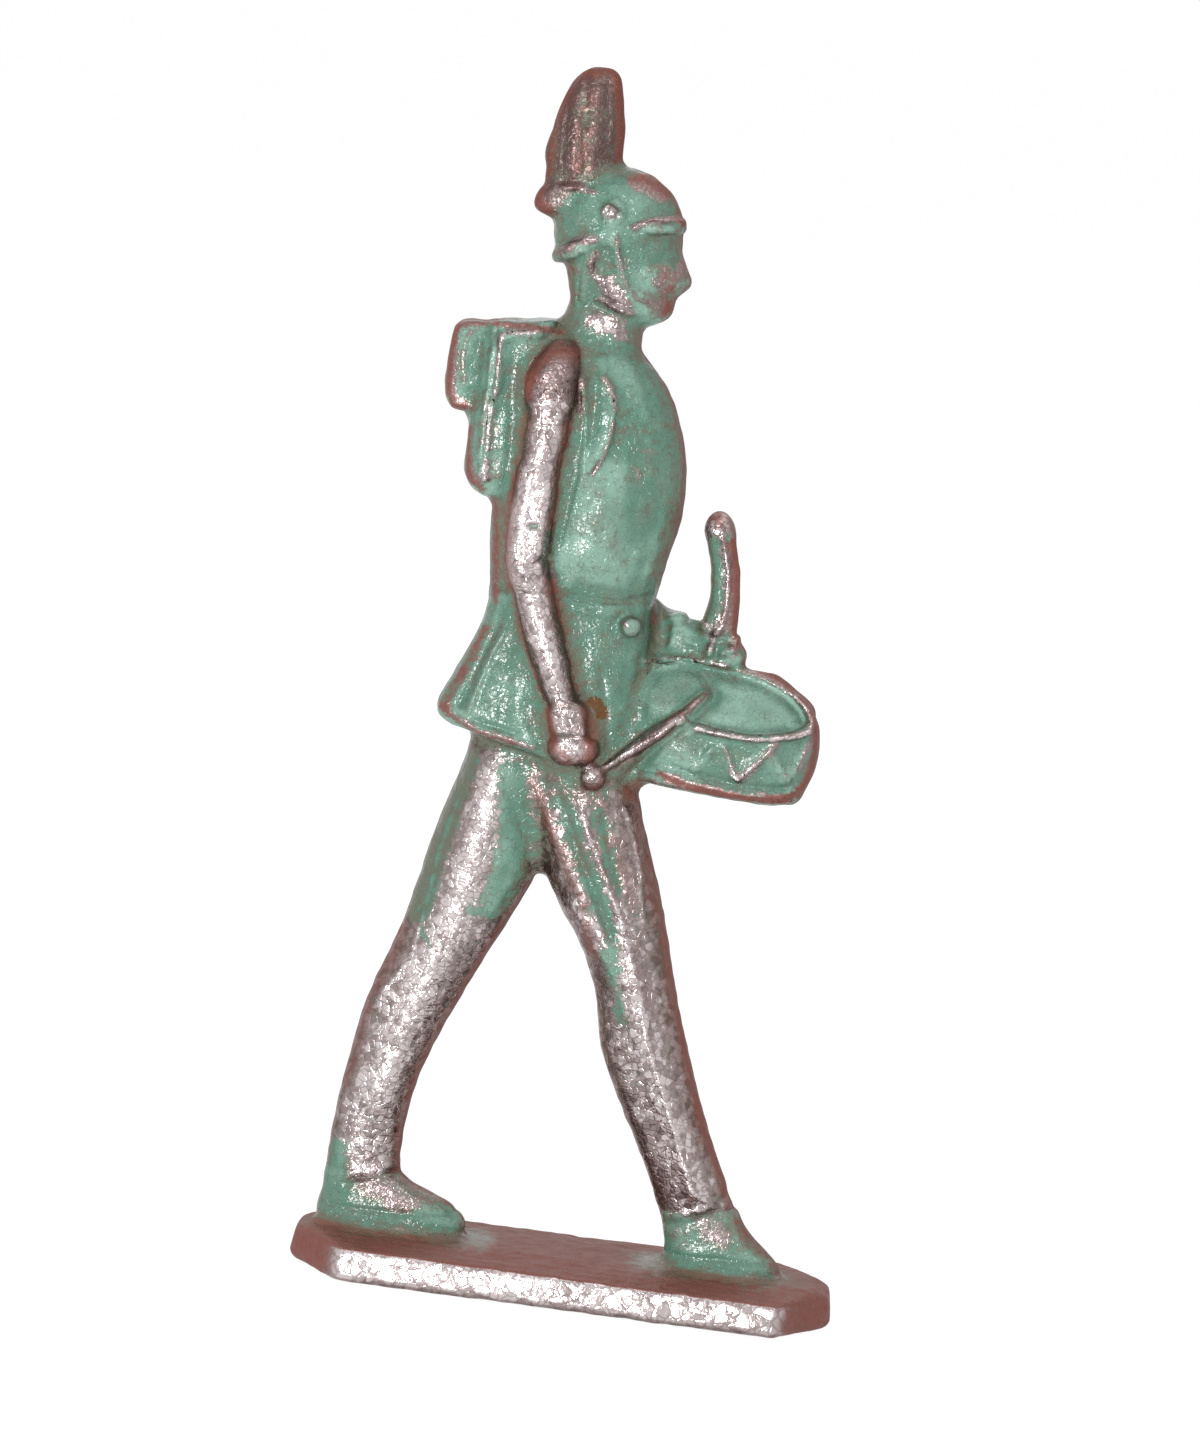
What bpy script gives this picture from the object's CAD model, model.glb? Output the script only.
"""Worn toy drummer: a semi-flat casting in white metal under rubbed green enamel.

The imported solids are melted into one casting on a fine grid, the way metal fills a mould: their
edges are softened, the joins between them get fillets, and seams, straps, folds and feathers are
raised or cut. Each named form then gets its own closed mesh out of that casting.
"""

import math
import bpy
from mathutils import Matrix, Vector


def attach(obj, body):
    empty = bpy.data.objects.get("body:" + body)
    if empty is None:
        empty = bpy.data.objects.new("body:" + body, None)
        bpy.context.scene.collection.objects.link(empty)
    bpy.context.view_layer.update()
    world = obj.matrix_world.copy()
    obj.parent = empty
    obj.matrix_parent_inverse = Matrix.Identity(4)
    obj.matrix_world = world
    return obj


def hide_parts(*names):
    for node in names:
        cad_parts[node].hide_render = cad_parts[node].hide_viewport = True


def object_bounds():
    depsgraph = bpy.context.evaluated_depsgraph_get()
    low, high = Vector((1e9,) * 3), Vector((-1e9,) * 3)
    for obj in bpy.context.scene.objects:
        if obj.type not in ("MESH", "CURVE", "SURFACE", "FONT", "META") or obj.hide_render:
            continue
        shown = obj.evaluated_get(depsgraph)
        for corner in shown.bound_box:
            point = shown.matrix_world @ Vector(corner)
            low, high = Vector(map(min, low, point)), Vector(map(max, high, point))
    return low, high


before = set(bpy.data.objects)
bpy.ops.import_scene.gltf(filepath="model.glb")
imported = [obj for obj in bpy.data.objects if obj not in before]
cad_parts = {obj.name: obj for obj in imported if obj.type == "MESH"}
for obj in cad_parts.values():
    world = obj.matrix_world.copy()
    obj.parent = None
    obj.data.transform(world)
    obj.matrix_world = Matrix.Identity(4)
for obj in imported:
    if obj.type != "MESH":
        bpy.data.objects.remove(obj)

from types import SimpleNamespace

import bpy
import numpy as np
from mathutils import Matrix, Vector

bl_info = {
    "name": "Worn Toy Drummer",
    "version": (1, 0, 0),
    "blender": (4, 5, 0),
    "location": "3D View > Sidebar > Drummer",
    "description": "Dresses a semi-flat cast drummer in rubbed enamel over white metal",
    "category": "Object",
}

MM = 0.001
CAD_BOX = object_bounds()
SOLE = 2.0  # height of the soles over the base's underside, in mm
NEAR, FAR, BOTH = "near", "far", "both"


# Relief

# The places in these tables were judged by eye from the photo. They are (x, height over the
# soles), in mm.

# Knuckles of the raised fist, each by its two ends
KNUCKLES = [
    [(3.67, 32.65), (3.71, 32.66)],
    [(3.52, 31.95), (3.56, 31.96)],
    [(4.16, 31.77), (4.20, 31.77)],
    [(4.60, 31.93), (4.64, 31.94)],
    [(4.80, 32.50), (4.84, 32.51)],
    [(3.43, 31.56), (3.47, 31.57)],
]

# Each line is raised, or cut where its rise is negative, along a path of such places:
# (side, half width, rise, path), in mm
LINES = {
    "plume": {
        "socket rim": (BOTH, 0.15, 0.13, [(-6.71, 53.98), (-5.92, 54.07), (-5.14, 53.93)]),
        "gap over the rim": (BOTH, 0.13, -0.07, [(-6.75, 54.31), (-5.96, 54.43), (-5.26, 54.38)]),
        "rear groove": (BOTH, 0.14, -0.05, [(-6.85, 58.86), (-6.99, 57.02), (-6.84, 54.71)]),
        "rear feather": (BOTH, 0.16, 0.03, [(-6.50, 59.40), (-6.52, 57.24), (-6.29, 54.62)]),
        "middle groove": (BOTH, 0.16, -0.05, [(-6.15, 59.61), (-6.06, 57.30), (-5.72, 54.61)]),
        "middle feather": (BOTH, 0.16, 0.03, [(-5.66, 59.75), (-5.47, 57.38), (-5.23, 54.67)]),
        "front groove": (BOTH, 0.16, -0.04, [(-5.15, 59.65), (-4.91, 57.45), (-4.76, 55.48)]),
        "groove by the rear edge": (BOTH, 0.15, -0.06, [(-7.45, 56.30), (-7.33, 54.65)]),
    },
    "helmet": {
        "peak bead": (BOTH, 0.16, 0.15, [
            (-2.89, 52.48), (-2.53, 52.74), (-1.92, 52.98), (-1.11, 53.14), (-0.50, 53.05),
        ]),
        "start of the peak bead": (BOTH, 0.24, 0.06, [(-2.86, 52.48), (-2.71, 52.60)]),
        "neck guard bead": (BOTH, 0.17, 0.13, [
            (-6.45, 50.79), (-5.88, 51.33), (-5.26, 51.66), (-4.65, 51.62),
        ]),
        "groove over the neck guard": (BOTH, 0.16, -0.07, [
            (-6.40, 51.47), (-5.63, 51.98), (-4.66, 52.22),
        ]),
        "groove round the boss": (BOTH, 0.10, -0.10, [
            (-4.43, 53.05), (-4.16, 53.54), (-3.71, 53.27), (-3.87, 52.79), (-4.31, 52.76),
        ]),
        "rim round the boss": (BOTH, 0.14, 0.06, [
            (-4.47, 53.37), (-4.02, 53.76), (-3.55, 53.49), (-3.48, 52.92),
        ]),
    },
    "head": {
        "chin strap": (BOTH, 0.11, 0.10, [
            (-3.68, 51.95), (-3.50, 51.09), (-3.21, 50.21), (-2.81, 49.43), (-2.39, 48.98),
            (-1.76, 48.80),
        ]),
        "ear": (BOTH, 0.18, 0.12, [(-4.60, 50.90), (-4.83, 50.34), (-4.44, 49.69)]),
        "edge of the hair": (BOTH, 0.12, -0.07, [(-5.31, 50.77), (-5.33, 49.60), (-5.27, 48.45)]),
        "jaw": (BOTH, 0.42, 0.16, [(-3.91, 49.54), (-3.60, 49.08), (-3.12, 48.56)]),
        "jaw line": (BOTH, 0.13, 0.07, [(-4.39, 48.76), (-3.87, 48.54), (-3.07, 48.20), (-2.32, 48.16)]),
        "groove under the jaw": (BOTH, 0.13, -0.05, [(-4.51, 48.38), (-3.81, 48.13), (-2.77, 47.77)]),
        "collar edge": (BOTH, 0.14, 0.08, [(-4.38, 46.64), (-3.64, 46.74), (-2.63, 46.65)]),
    },
    "face": {
        "eye socket": (BOTH, 0.30, -0.10, [(-1.50, 51.00), (-1.45, 51.00)]),
        "brow": (BOTH, 0.14, 0.05, [(-1.75, 51.35), (-1.30, 51.50), (-0.90, 51.40)]),
        "mouth": (BOTH, 0.12, -0.06, [(-1.15, 49.05), (-0.75, 49.10)]),
    },
    "knapsack": {
        "edge of the roll's end": (BOTH, 0.15, 0.12, [
            (-10.29, 46.29), (-10.61, 45.81), (-10.65, 44.87), (-10.42, 43.77),
        ]),
        "foot of the roll's end": (BOTH, 0.13, 0.09, [(-10.52, 43.51), (-10.01, 43.62), (-9.96, 44.23)]),
        "strap over the roll": (BOTH, 0.16, 0.09, [(-9.70, 46.12), (-9.55, 45.17), (-9.57, 43.71)]),
        "gap between roll and box": (BOTH, 0.16, -0.14, [
            (-9.06, 46.45), (-8.99, 45.08), (-9.01, 43.38), (-9.06, 41.67), (-9.05, 40.05),
        ]),
        "piping of the flap": (BOTH, 0.26, 0.15, [
            (-7.17, 46.58), (-8.25, 46.41), (-8.76, 46.05), (-8.72, 44.96), (-8.64, 43.51),
        ]),
        "swell of the box": (BOTH, 0.70, 0.07, [(-8.83, 43.00), (-8.68, 41.40), (-8.58, 39.62)]),
        "groove before the arm": (BOTH, 0.26, -0.06, [
            (-8.02, 45.37), (-7.87, 43.61), (-7.76, 41.68), (-7.72, 40.06),
        ]),
        "foot of the roll": (BOTH, 0.15, 0.08, [(-10.89, 42.54), (-10.24, 42.53)]),
        "swell beside the groove": (BOTH, 0.42, 0.12, [(-7.98, 42.32), (-7.98, 40.70), (-8.00, 39.56)]),
    },
    "sling": {
        "front edge": (BOTH, 0.13, 0.13, [
            (-3.70, 45.00), (-3.05, 44.44), (-2.71, 43.68), (-2.74, 42.87), (-2.74, 41.89),
            (-2.93, 41.19), (-3.14, 40.55), (-3.40, 40.06),
        ]),
        "rear edge": (BOTH, 0.14, 0.10, [
            (-4.04, 42.86), (-3.94, 41.25), (-4.00, 39.63), (-4.20, 38.14), (-4.37, 36.65),
            (-4.44, 35.67),
        ]),
        "hollow between the edges": (BOTH, 0.30, -0.07, [
            (-3.74, 44.03), (-3.52, 42.28), (-3.58, 40.82),
        ]),
    },
    "chest": {
        "swell under the sling": (NEAR, 1.20, 0.34, [(-2.63, 39.80), (-2.55, 38.19), (-2.76, 36.21)]),
        "swell over the belt": (NEAR, 1.20, 0.14, [(-3.77, 35.19), (-1.99, 35.26), (-0.59, 35.68)]),
        "ridge of the fold": (NEAR, 0.42, 0.09, [
            (-2.92, 40.58), (-2.96, 39.60), (-2.96, 38.30), (-3.11, 36.66), (-3.31, 35.65),
        ]),
        "hollow of the breast": (NEAR, 1.40, -0.08, [
            (-1.57, 42.21), (-0.88, 40.35), (-0.64, 38.44), (-0.97, 36.12),
        ]),
        "fold on the far side": (FAR, 0.40, 0.10, [(-3.44, 39.70), (-3.41, 37.76), (-3.43, 36.13)]),
    },
    "wing": {
        "gap before the arm": (NEAR, 0.13, -0.13, [(-4.73, 44.64), (-4.45, 43.06)]),
        "front edge": (BOTH, 0.15, 0.08, [(-4.38, 44.61), (-4.15, 43.02)]),
    },
    "right_arm": {
        "swell of the upper arm": (NEAR, 0.90, 0.16, [
            (-6.06, 41.38), (-6.10, 40.09), (-6.25, 38.45), (-6.34, 36.82), (-6.27, 35.21),
        ]),
        "swell behind the elbow": (NEAR, 0.55, 0.26, [
            (-6.70, 39.67), (-6.78, 38.36), (-6.86, 37.05), (-6.79, 35.44), (-6.47, 34.51),
        ]),
        "swell before the elbow": (NEAR, 0.45, 0.20, [(-5.44, 38.86), (-5.56, 37.22), (-5.59, 35.92)]),
        "swell of the forearm": (NEAR, 0.80, 0.14, [
            (-6.07, 34.40), (-5.36, 32.64), (-4.52, 30.88), (-3.82, 29.23),
        ]),
        "bump at the elbow": (NEAR, 0.16, 0.12, [(-5.60, 36.72), (-5.46, 36.54)]),
        "notch at the elbow": (NEAR, 0.14, -0.14, [(-6.09, 37.17), (-5.82, 37.21)]),
        "crease in the elbow": (NEAR, 0.14, -0.11, [(-4.82, 35.69), (-5.37, 35.52), (-5.84, 35.13)]),
        "bump under the elbow": (NEAR, 0.22, 0.12, [(-6.08, 34.71), (-5.87, 34.61)]),
        "crease under the elbow": (NEAR, 0.12, -0.09, [(-6.38, 34.37), (-5.98, 34.64), (-5.29, 34.61)]),
        "crease of the forearm": (NEAR, 0.12, -0.08, [(-6.12, 33.78), (-5.50, 33.74)]),
        "crease under the wing": (NEAR, 0.16, -0.08, [(-6.67, 42.11), (-5.86, 42.05), (-5.09, 42.40)]),
    },
    "left_arm": {
        "fold of the sleeve": (BOTH, 0.22, 0.12, [(0.97, 31.94), (1.75, 32.25)]),
        "fold at the cuff": (BOTH, 0.18, 0.10, [(2.24, 32.11), (2.60, 31.95)]),
        "crease in the far elbow": (FAR, 0.15, -0.12, [(-6.38, 37.14), (-5.61, 37.48), (-4.79, 37.34)]),
        "crease under the far elbow": (FAR, 0.13, -0.10, [(-5.78, 36.24), (-4.79, 36.05)]),
        "swell of the forearm": (BOTH, 0.26, 0.22, [(1.33, 33.08), (2.21, 33.37), (3.03, 32.82)]),
    },
    "fist": {
        "groove over the cuff": (NEAR, 0.16, -0.09, [(-4.07, 28.26), (-3.23, 28.44), (-2.18, 28.45)]),
        "groove between cuff and fist": (NEAR, 0.18, -0.10, [
            (-3.81, 26.64), (-2.84, 26.84), (-1.80, 26.88),
        ]),
        "ridge of the cuff": (NEAR, 0.20, 0.10, [(-3.33, 27.80), (-3.06, 27.09)]),
        "first gap between fingers": (NEAR, 0.13, -0.07, [(-3.13, 26.43), (-3.09, 25.83)]),
        "second gap between fingers": (NEAR, 0.13, -0.06, [(-2.59, 26.52), (-2.52, 25.91)]),
        "third gap between fingers": (NEAR, 0.13, -0.06, [(-2.10, 26.56), (-2.01, 26.04)]),
    },
    "knuckles": {
        **{f"knuckle {n}": (BOTH, 0.20, 0.24, ends) for n, ends in enumerate(KNUCKLES, 1)},
        "gap between the knuckles": (BOTH, 0.13, -0.12, [(3.93, 32.24), (4.32, 32.29)]),
        "gap beside the thumb": (BOTH, 0.12, -0.10, [(3.86, 31.41), (3.82, 32.16)]),
    },
    "belt": {
        "groove over the belt": (BOTH, 0.13, -0.08, [
            (-4.09, 33.89), (-2.44, 33.68), (-1.15, 33.75), (0.25, 34.20),
        ]),
        "lower edge": (BOTH, 0.16, 0.06, [(-3.51, 33.10), (-2.36, 33.01), (-1.39, 33.05)]),
        "button": (BOTH, 0.20, 0.10, [(-0.93, 32.79), (-0.83, 32.77)]),
    },
    "skirt": {
        "rear pleat": (BOTH, 0.16, 0.13, [
            (-6.90, 31.53), (-7.28, 30.61), (-7.60, 29.56), (-7.94, 28.27), (-8.15, 27.30),
        ]),
        "groove behind the pleat": (BOTH, 0.18, -0.13, [
            (-7.20, 31.74), (-7.80, 30.04), (-8.29, 28.47), (-8.68, 27.54),
        ]),
        "swell of the skirt": (BOTH, 0.40, 0.06, [
            (-5.91, 30.54), (-5.57, 29.08), (-5.70, 27.81), (-5.25, 26.49),
        ]),
        "hollow of the skirt": (BOTH, 0.34, -0.05, [(-6.36, 29.98), (-6.30, 28.48), (-6.52, 27.20)]),
        "hem bead": (BOTH, 0.17, 0.14, [
            (-9.40, 27.32), (-8.59, 26.86), (-7.54, 26.44), (-6.53, 26.32), (-5.51, 26.14),
            (-4.60, 26.00),
        ]),
        "groove over the hem": (BOTH, 0.14, -0.10, [(-7.85, 26.90), (-6.58, 26.69), (-5.44, 26.53)]),
        "groove under the hem": (BOTH, 0.16, -0.10, [(-7.64, 25.93), (-6.35, 25.66), (-4.71, 25.50)]),
        "fold beside the cuff": (BOTH, 0.20, -0.07, [(-1.80, 30.33), (-1.31, 28.39), (-0.94, 26.43)]),
    },
    "drum": {
        "rear part of the top hoop": (BOTH, 0.14, 0.14, [
            (0.35, 30.84), (1.20, 31.10), (2.13, 31.20), (2.94, 31.16), (3.62, 31.11), (4.43, 31.09),
        ]),
        "front part of the top hoop": (BOTH, 0.14, 0.14, [
            (5.13, 30.93), (6.23, 30.79), (7.35, 30.40), (8.22, 29.95), (8.76, 29.48), (9.08, 28.86),
        ]),
        "near part of the top hoop": (BOTH, 0.15, 0.15, [
            (3.34, 28.04), (4.17, 27.92), (5.26, 27.84), (6.07, 27.81), (7.13, 27.94), (8.19, 28.14),
            (9.02, 28.48),
        ]),
        "hollow inside the hoop": (BOTH, 0.26, -0.13, [
            (0.73, 30.48), (2.18, 30.81), (4.48, 30.71), (6.28, 30.40), (7.69, 29.91), (8.44, 29.32),
            (8.62, 28.94),
        ]),
        "hollow over the near part": (BOTH, 0.22, -0.08, [(4.11, 28.35), (6.01, 28.26), (7.86, 28.57)]),
        "first cord": (BOTH, 0.13, 0.09, [(4.93, 27.23), (5.30, 26.46), (5.74, 25.63)]),
        "second cord": (BOTH, 0.15, 0.13, [(7.38, 27.58), (6.58, 26.49), (5.81, 25.64)]),
        "third cord": (BOTH, 0.13, 0.10, [(9.07, 27.78), (8.70, 26.47)]),
        "swell of the shell": (BOTH, 0.90, 0.22, [(2.16, 27.27), (2.29, 25.92)]),
        "bump beside the first cord": (BOTH, 0.30, 0.06, [(3.03, 26.84), (3.35, 26.41)]),
        "knot of the first cord": (BOTH, 0.17, 0.12, [(4.03, 26.84), (4.21, 27.06)]),
        "hoop behind the stick": (BOTH, 0.17, 0.10, [(2.60, 27.47), (3.24, 27.75)]),
        "bottom hoop": (BOTH, 0.17, 0.12, [
            (1.88, 25.61), (3.28, 25.25), (4.93, 24.99), (6.43, 24.92), (8.04, 25.06), (8.93, 25.45),
        ]),
        "groove over the bottom hoop": (BOTH, 0.15, -0.09, [
            (2.24, 25.93), (4.18, 25.57), (6.11, 25.35), (8.12, 25.48),
        ]),
        "hollow round the stick's tip": (NEAR, 0.35, -0.14, [
            (3.69, 30.06), (4.05, 29.90), (4.02, 29.56),
        ]),
    },
    "right_drumstick": {
        "shaft": (NEAR, 0.30, 0.16, [(-0.21, 25.37), (1.08, 26.87), (2.38, 28.33), (3.62, 29.69)]),
        "groove under the shaft": (NEAR, 0.16, -0.10, [
            (-0.04, 24.89), (1.38, 26.51), (2.92, 28.21), (3.87, 29.22),
        ]),
    },
    "left_drumstick": {
        "ridge of the shaft": (BOTH, 0.13, 0.14, [
            (3.43, 37.44), (3.93, 35.87), (4.05, 34.12), (3.93, 33.01),
        ]),
    },
    "rear_leg": {
        "swell of the leg": (BOTH, 0.90, 0.32, [
            (-6.57, 24.13), (-7.07, 20.32), (-7.90, 15.89), (-8.86, 12.40), (-9.75, 9.48),
            (-10.13, 6.90),
        ]),
        "groove at the rear": (BOTH, 0.22, -0.06, [(-7.87, 23.37), (-8.67, 19.79), (-9.27, 16.79)]),
        "groove at the inner side": (BOTH, 0.22, -0.06, [(-5.86, 23.78), (-4.42, 21.06)]),
        "rear seam": (BOTH, 0.12, 0.05, [(-9.01, 18.63), (-9.65, 14.22), (-11.15, 11.78)]),
        "groove over the hem": (BOTH, 0.22, -0.09, [(-11.49, 2.15), (-10.00, 2.52), (-8.48, 3.22)]),
        "hem": (BOTH, 0.20, 0.07, [(-11.38, 2.82), (-10.06, 3.06), (-8.68, 3.58)]),
    },
    "front_leg": {
        "inner crease": (BOTH, 0.36, 0.14, [
            (-4.68, 24.45), (-3.47, 22.33), (-2.23, 20.21), (-1.07, 18.46),
        ]),
        "hollow beside the inner crease": (BOTH, 0.22, -0.12, [
            (-3.04, 23.72), (-1.63, 20.67), (-0.42, 18.55), (0.38, 16.74),
        ]),
        "front crease": (BOTH, 0.16, 0.11, [
            (-1.84, 23.12), (-1.05, 21.32), (-0.07, 19.55), (0.70, 17.93), (1.74, 15.40), (2.33, 13.94),
            (2.90, 11.72), (3.84, 9.54), (4.63, 7.73), (5.46, 5.72), (6.23, 4.09),
        ]),
        "hollow before the front crease": (BOTH, 0.18, -0.08, [
            (-0.79, 23.07), (0.01, 20.70), (0.63, 19.26),
        ]),
        "short crease": (BOTH, 0.13, 0.08, [(0.34, 23.38), (0.92, 22.12), (1.52, 20.30), (1.90, 18.06)]),
        "swell of the shin": (BOTH, 0.72, 0.34, [
            (-1.58, 18.01), (1.50, 14.60), (3.09, 10.98), (4.87, 7.37), (6.23, 4.09),
        ]),
        "groove over the hem": (BOTH, 0.20, -0.09, [(5.03, 2.29), (6.05, 2.51), (7.49, 3.13)]),
        "hem": (BOTH, 0.18, 0.07, [(4.97, 2.81), (5.98, 3.00), (7.24, 3.56)]),
    },
    "boots": {
        "rear welt": (BOTH, 0.15, -0.08, [(-12.20, 0.96), (-9.16, 1.04), (-5.82, 1.27)]),
        "front welt": (BOTH, 0.15, -0.08, [(5.37, 0.74), (7.52, 0.87), (10.24, 0.92)]),
    },
}


def along(group, name):
    """The path of a line of the relief, for the wear that follows it."""
    return LINES[group][name][3]


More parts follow.
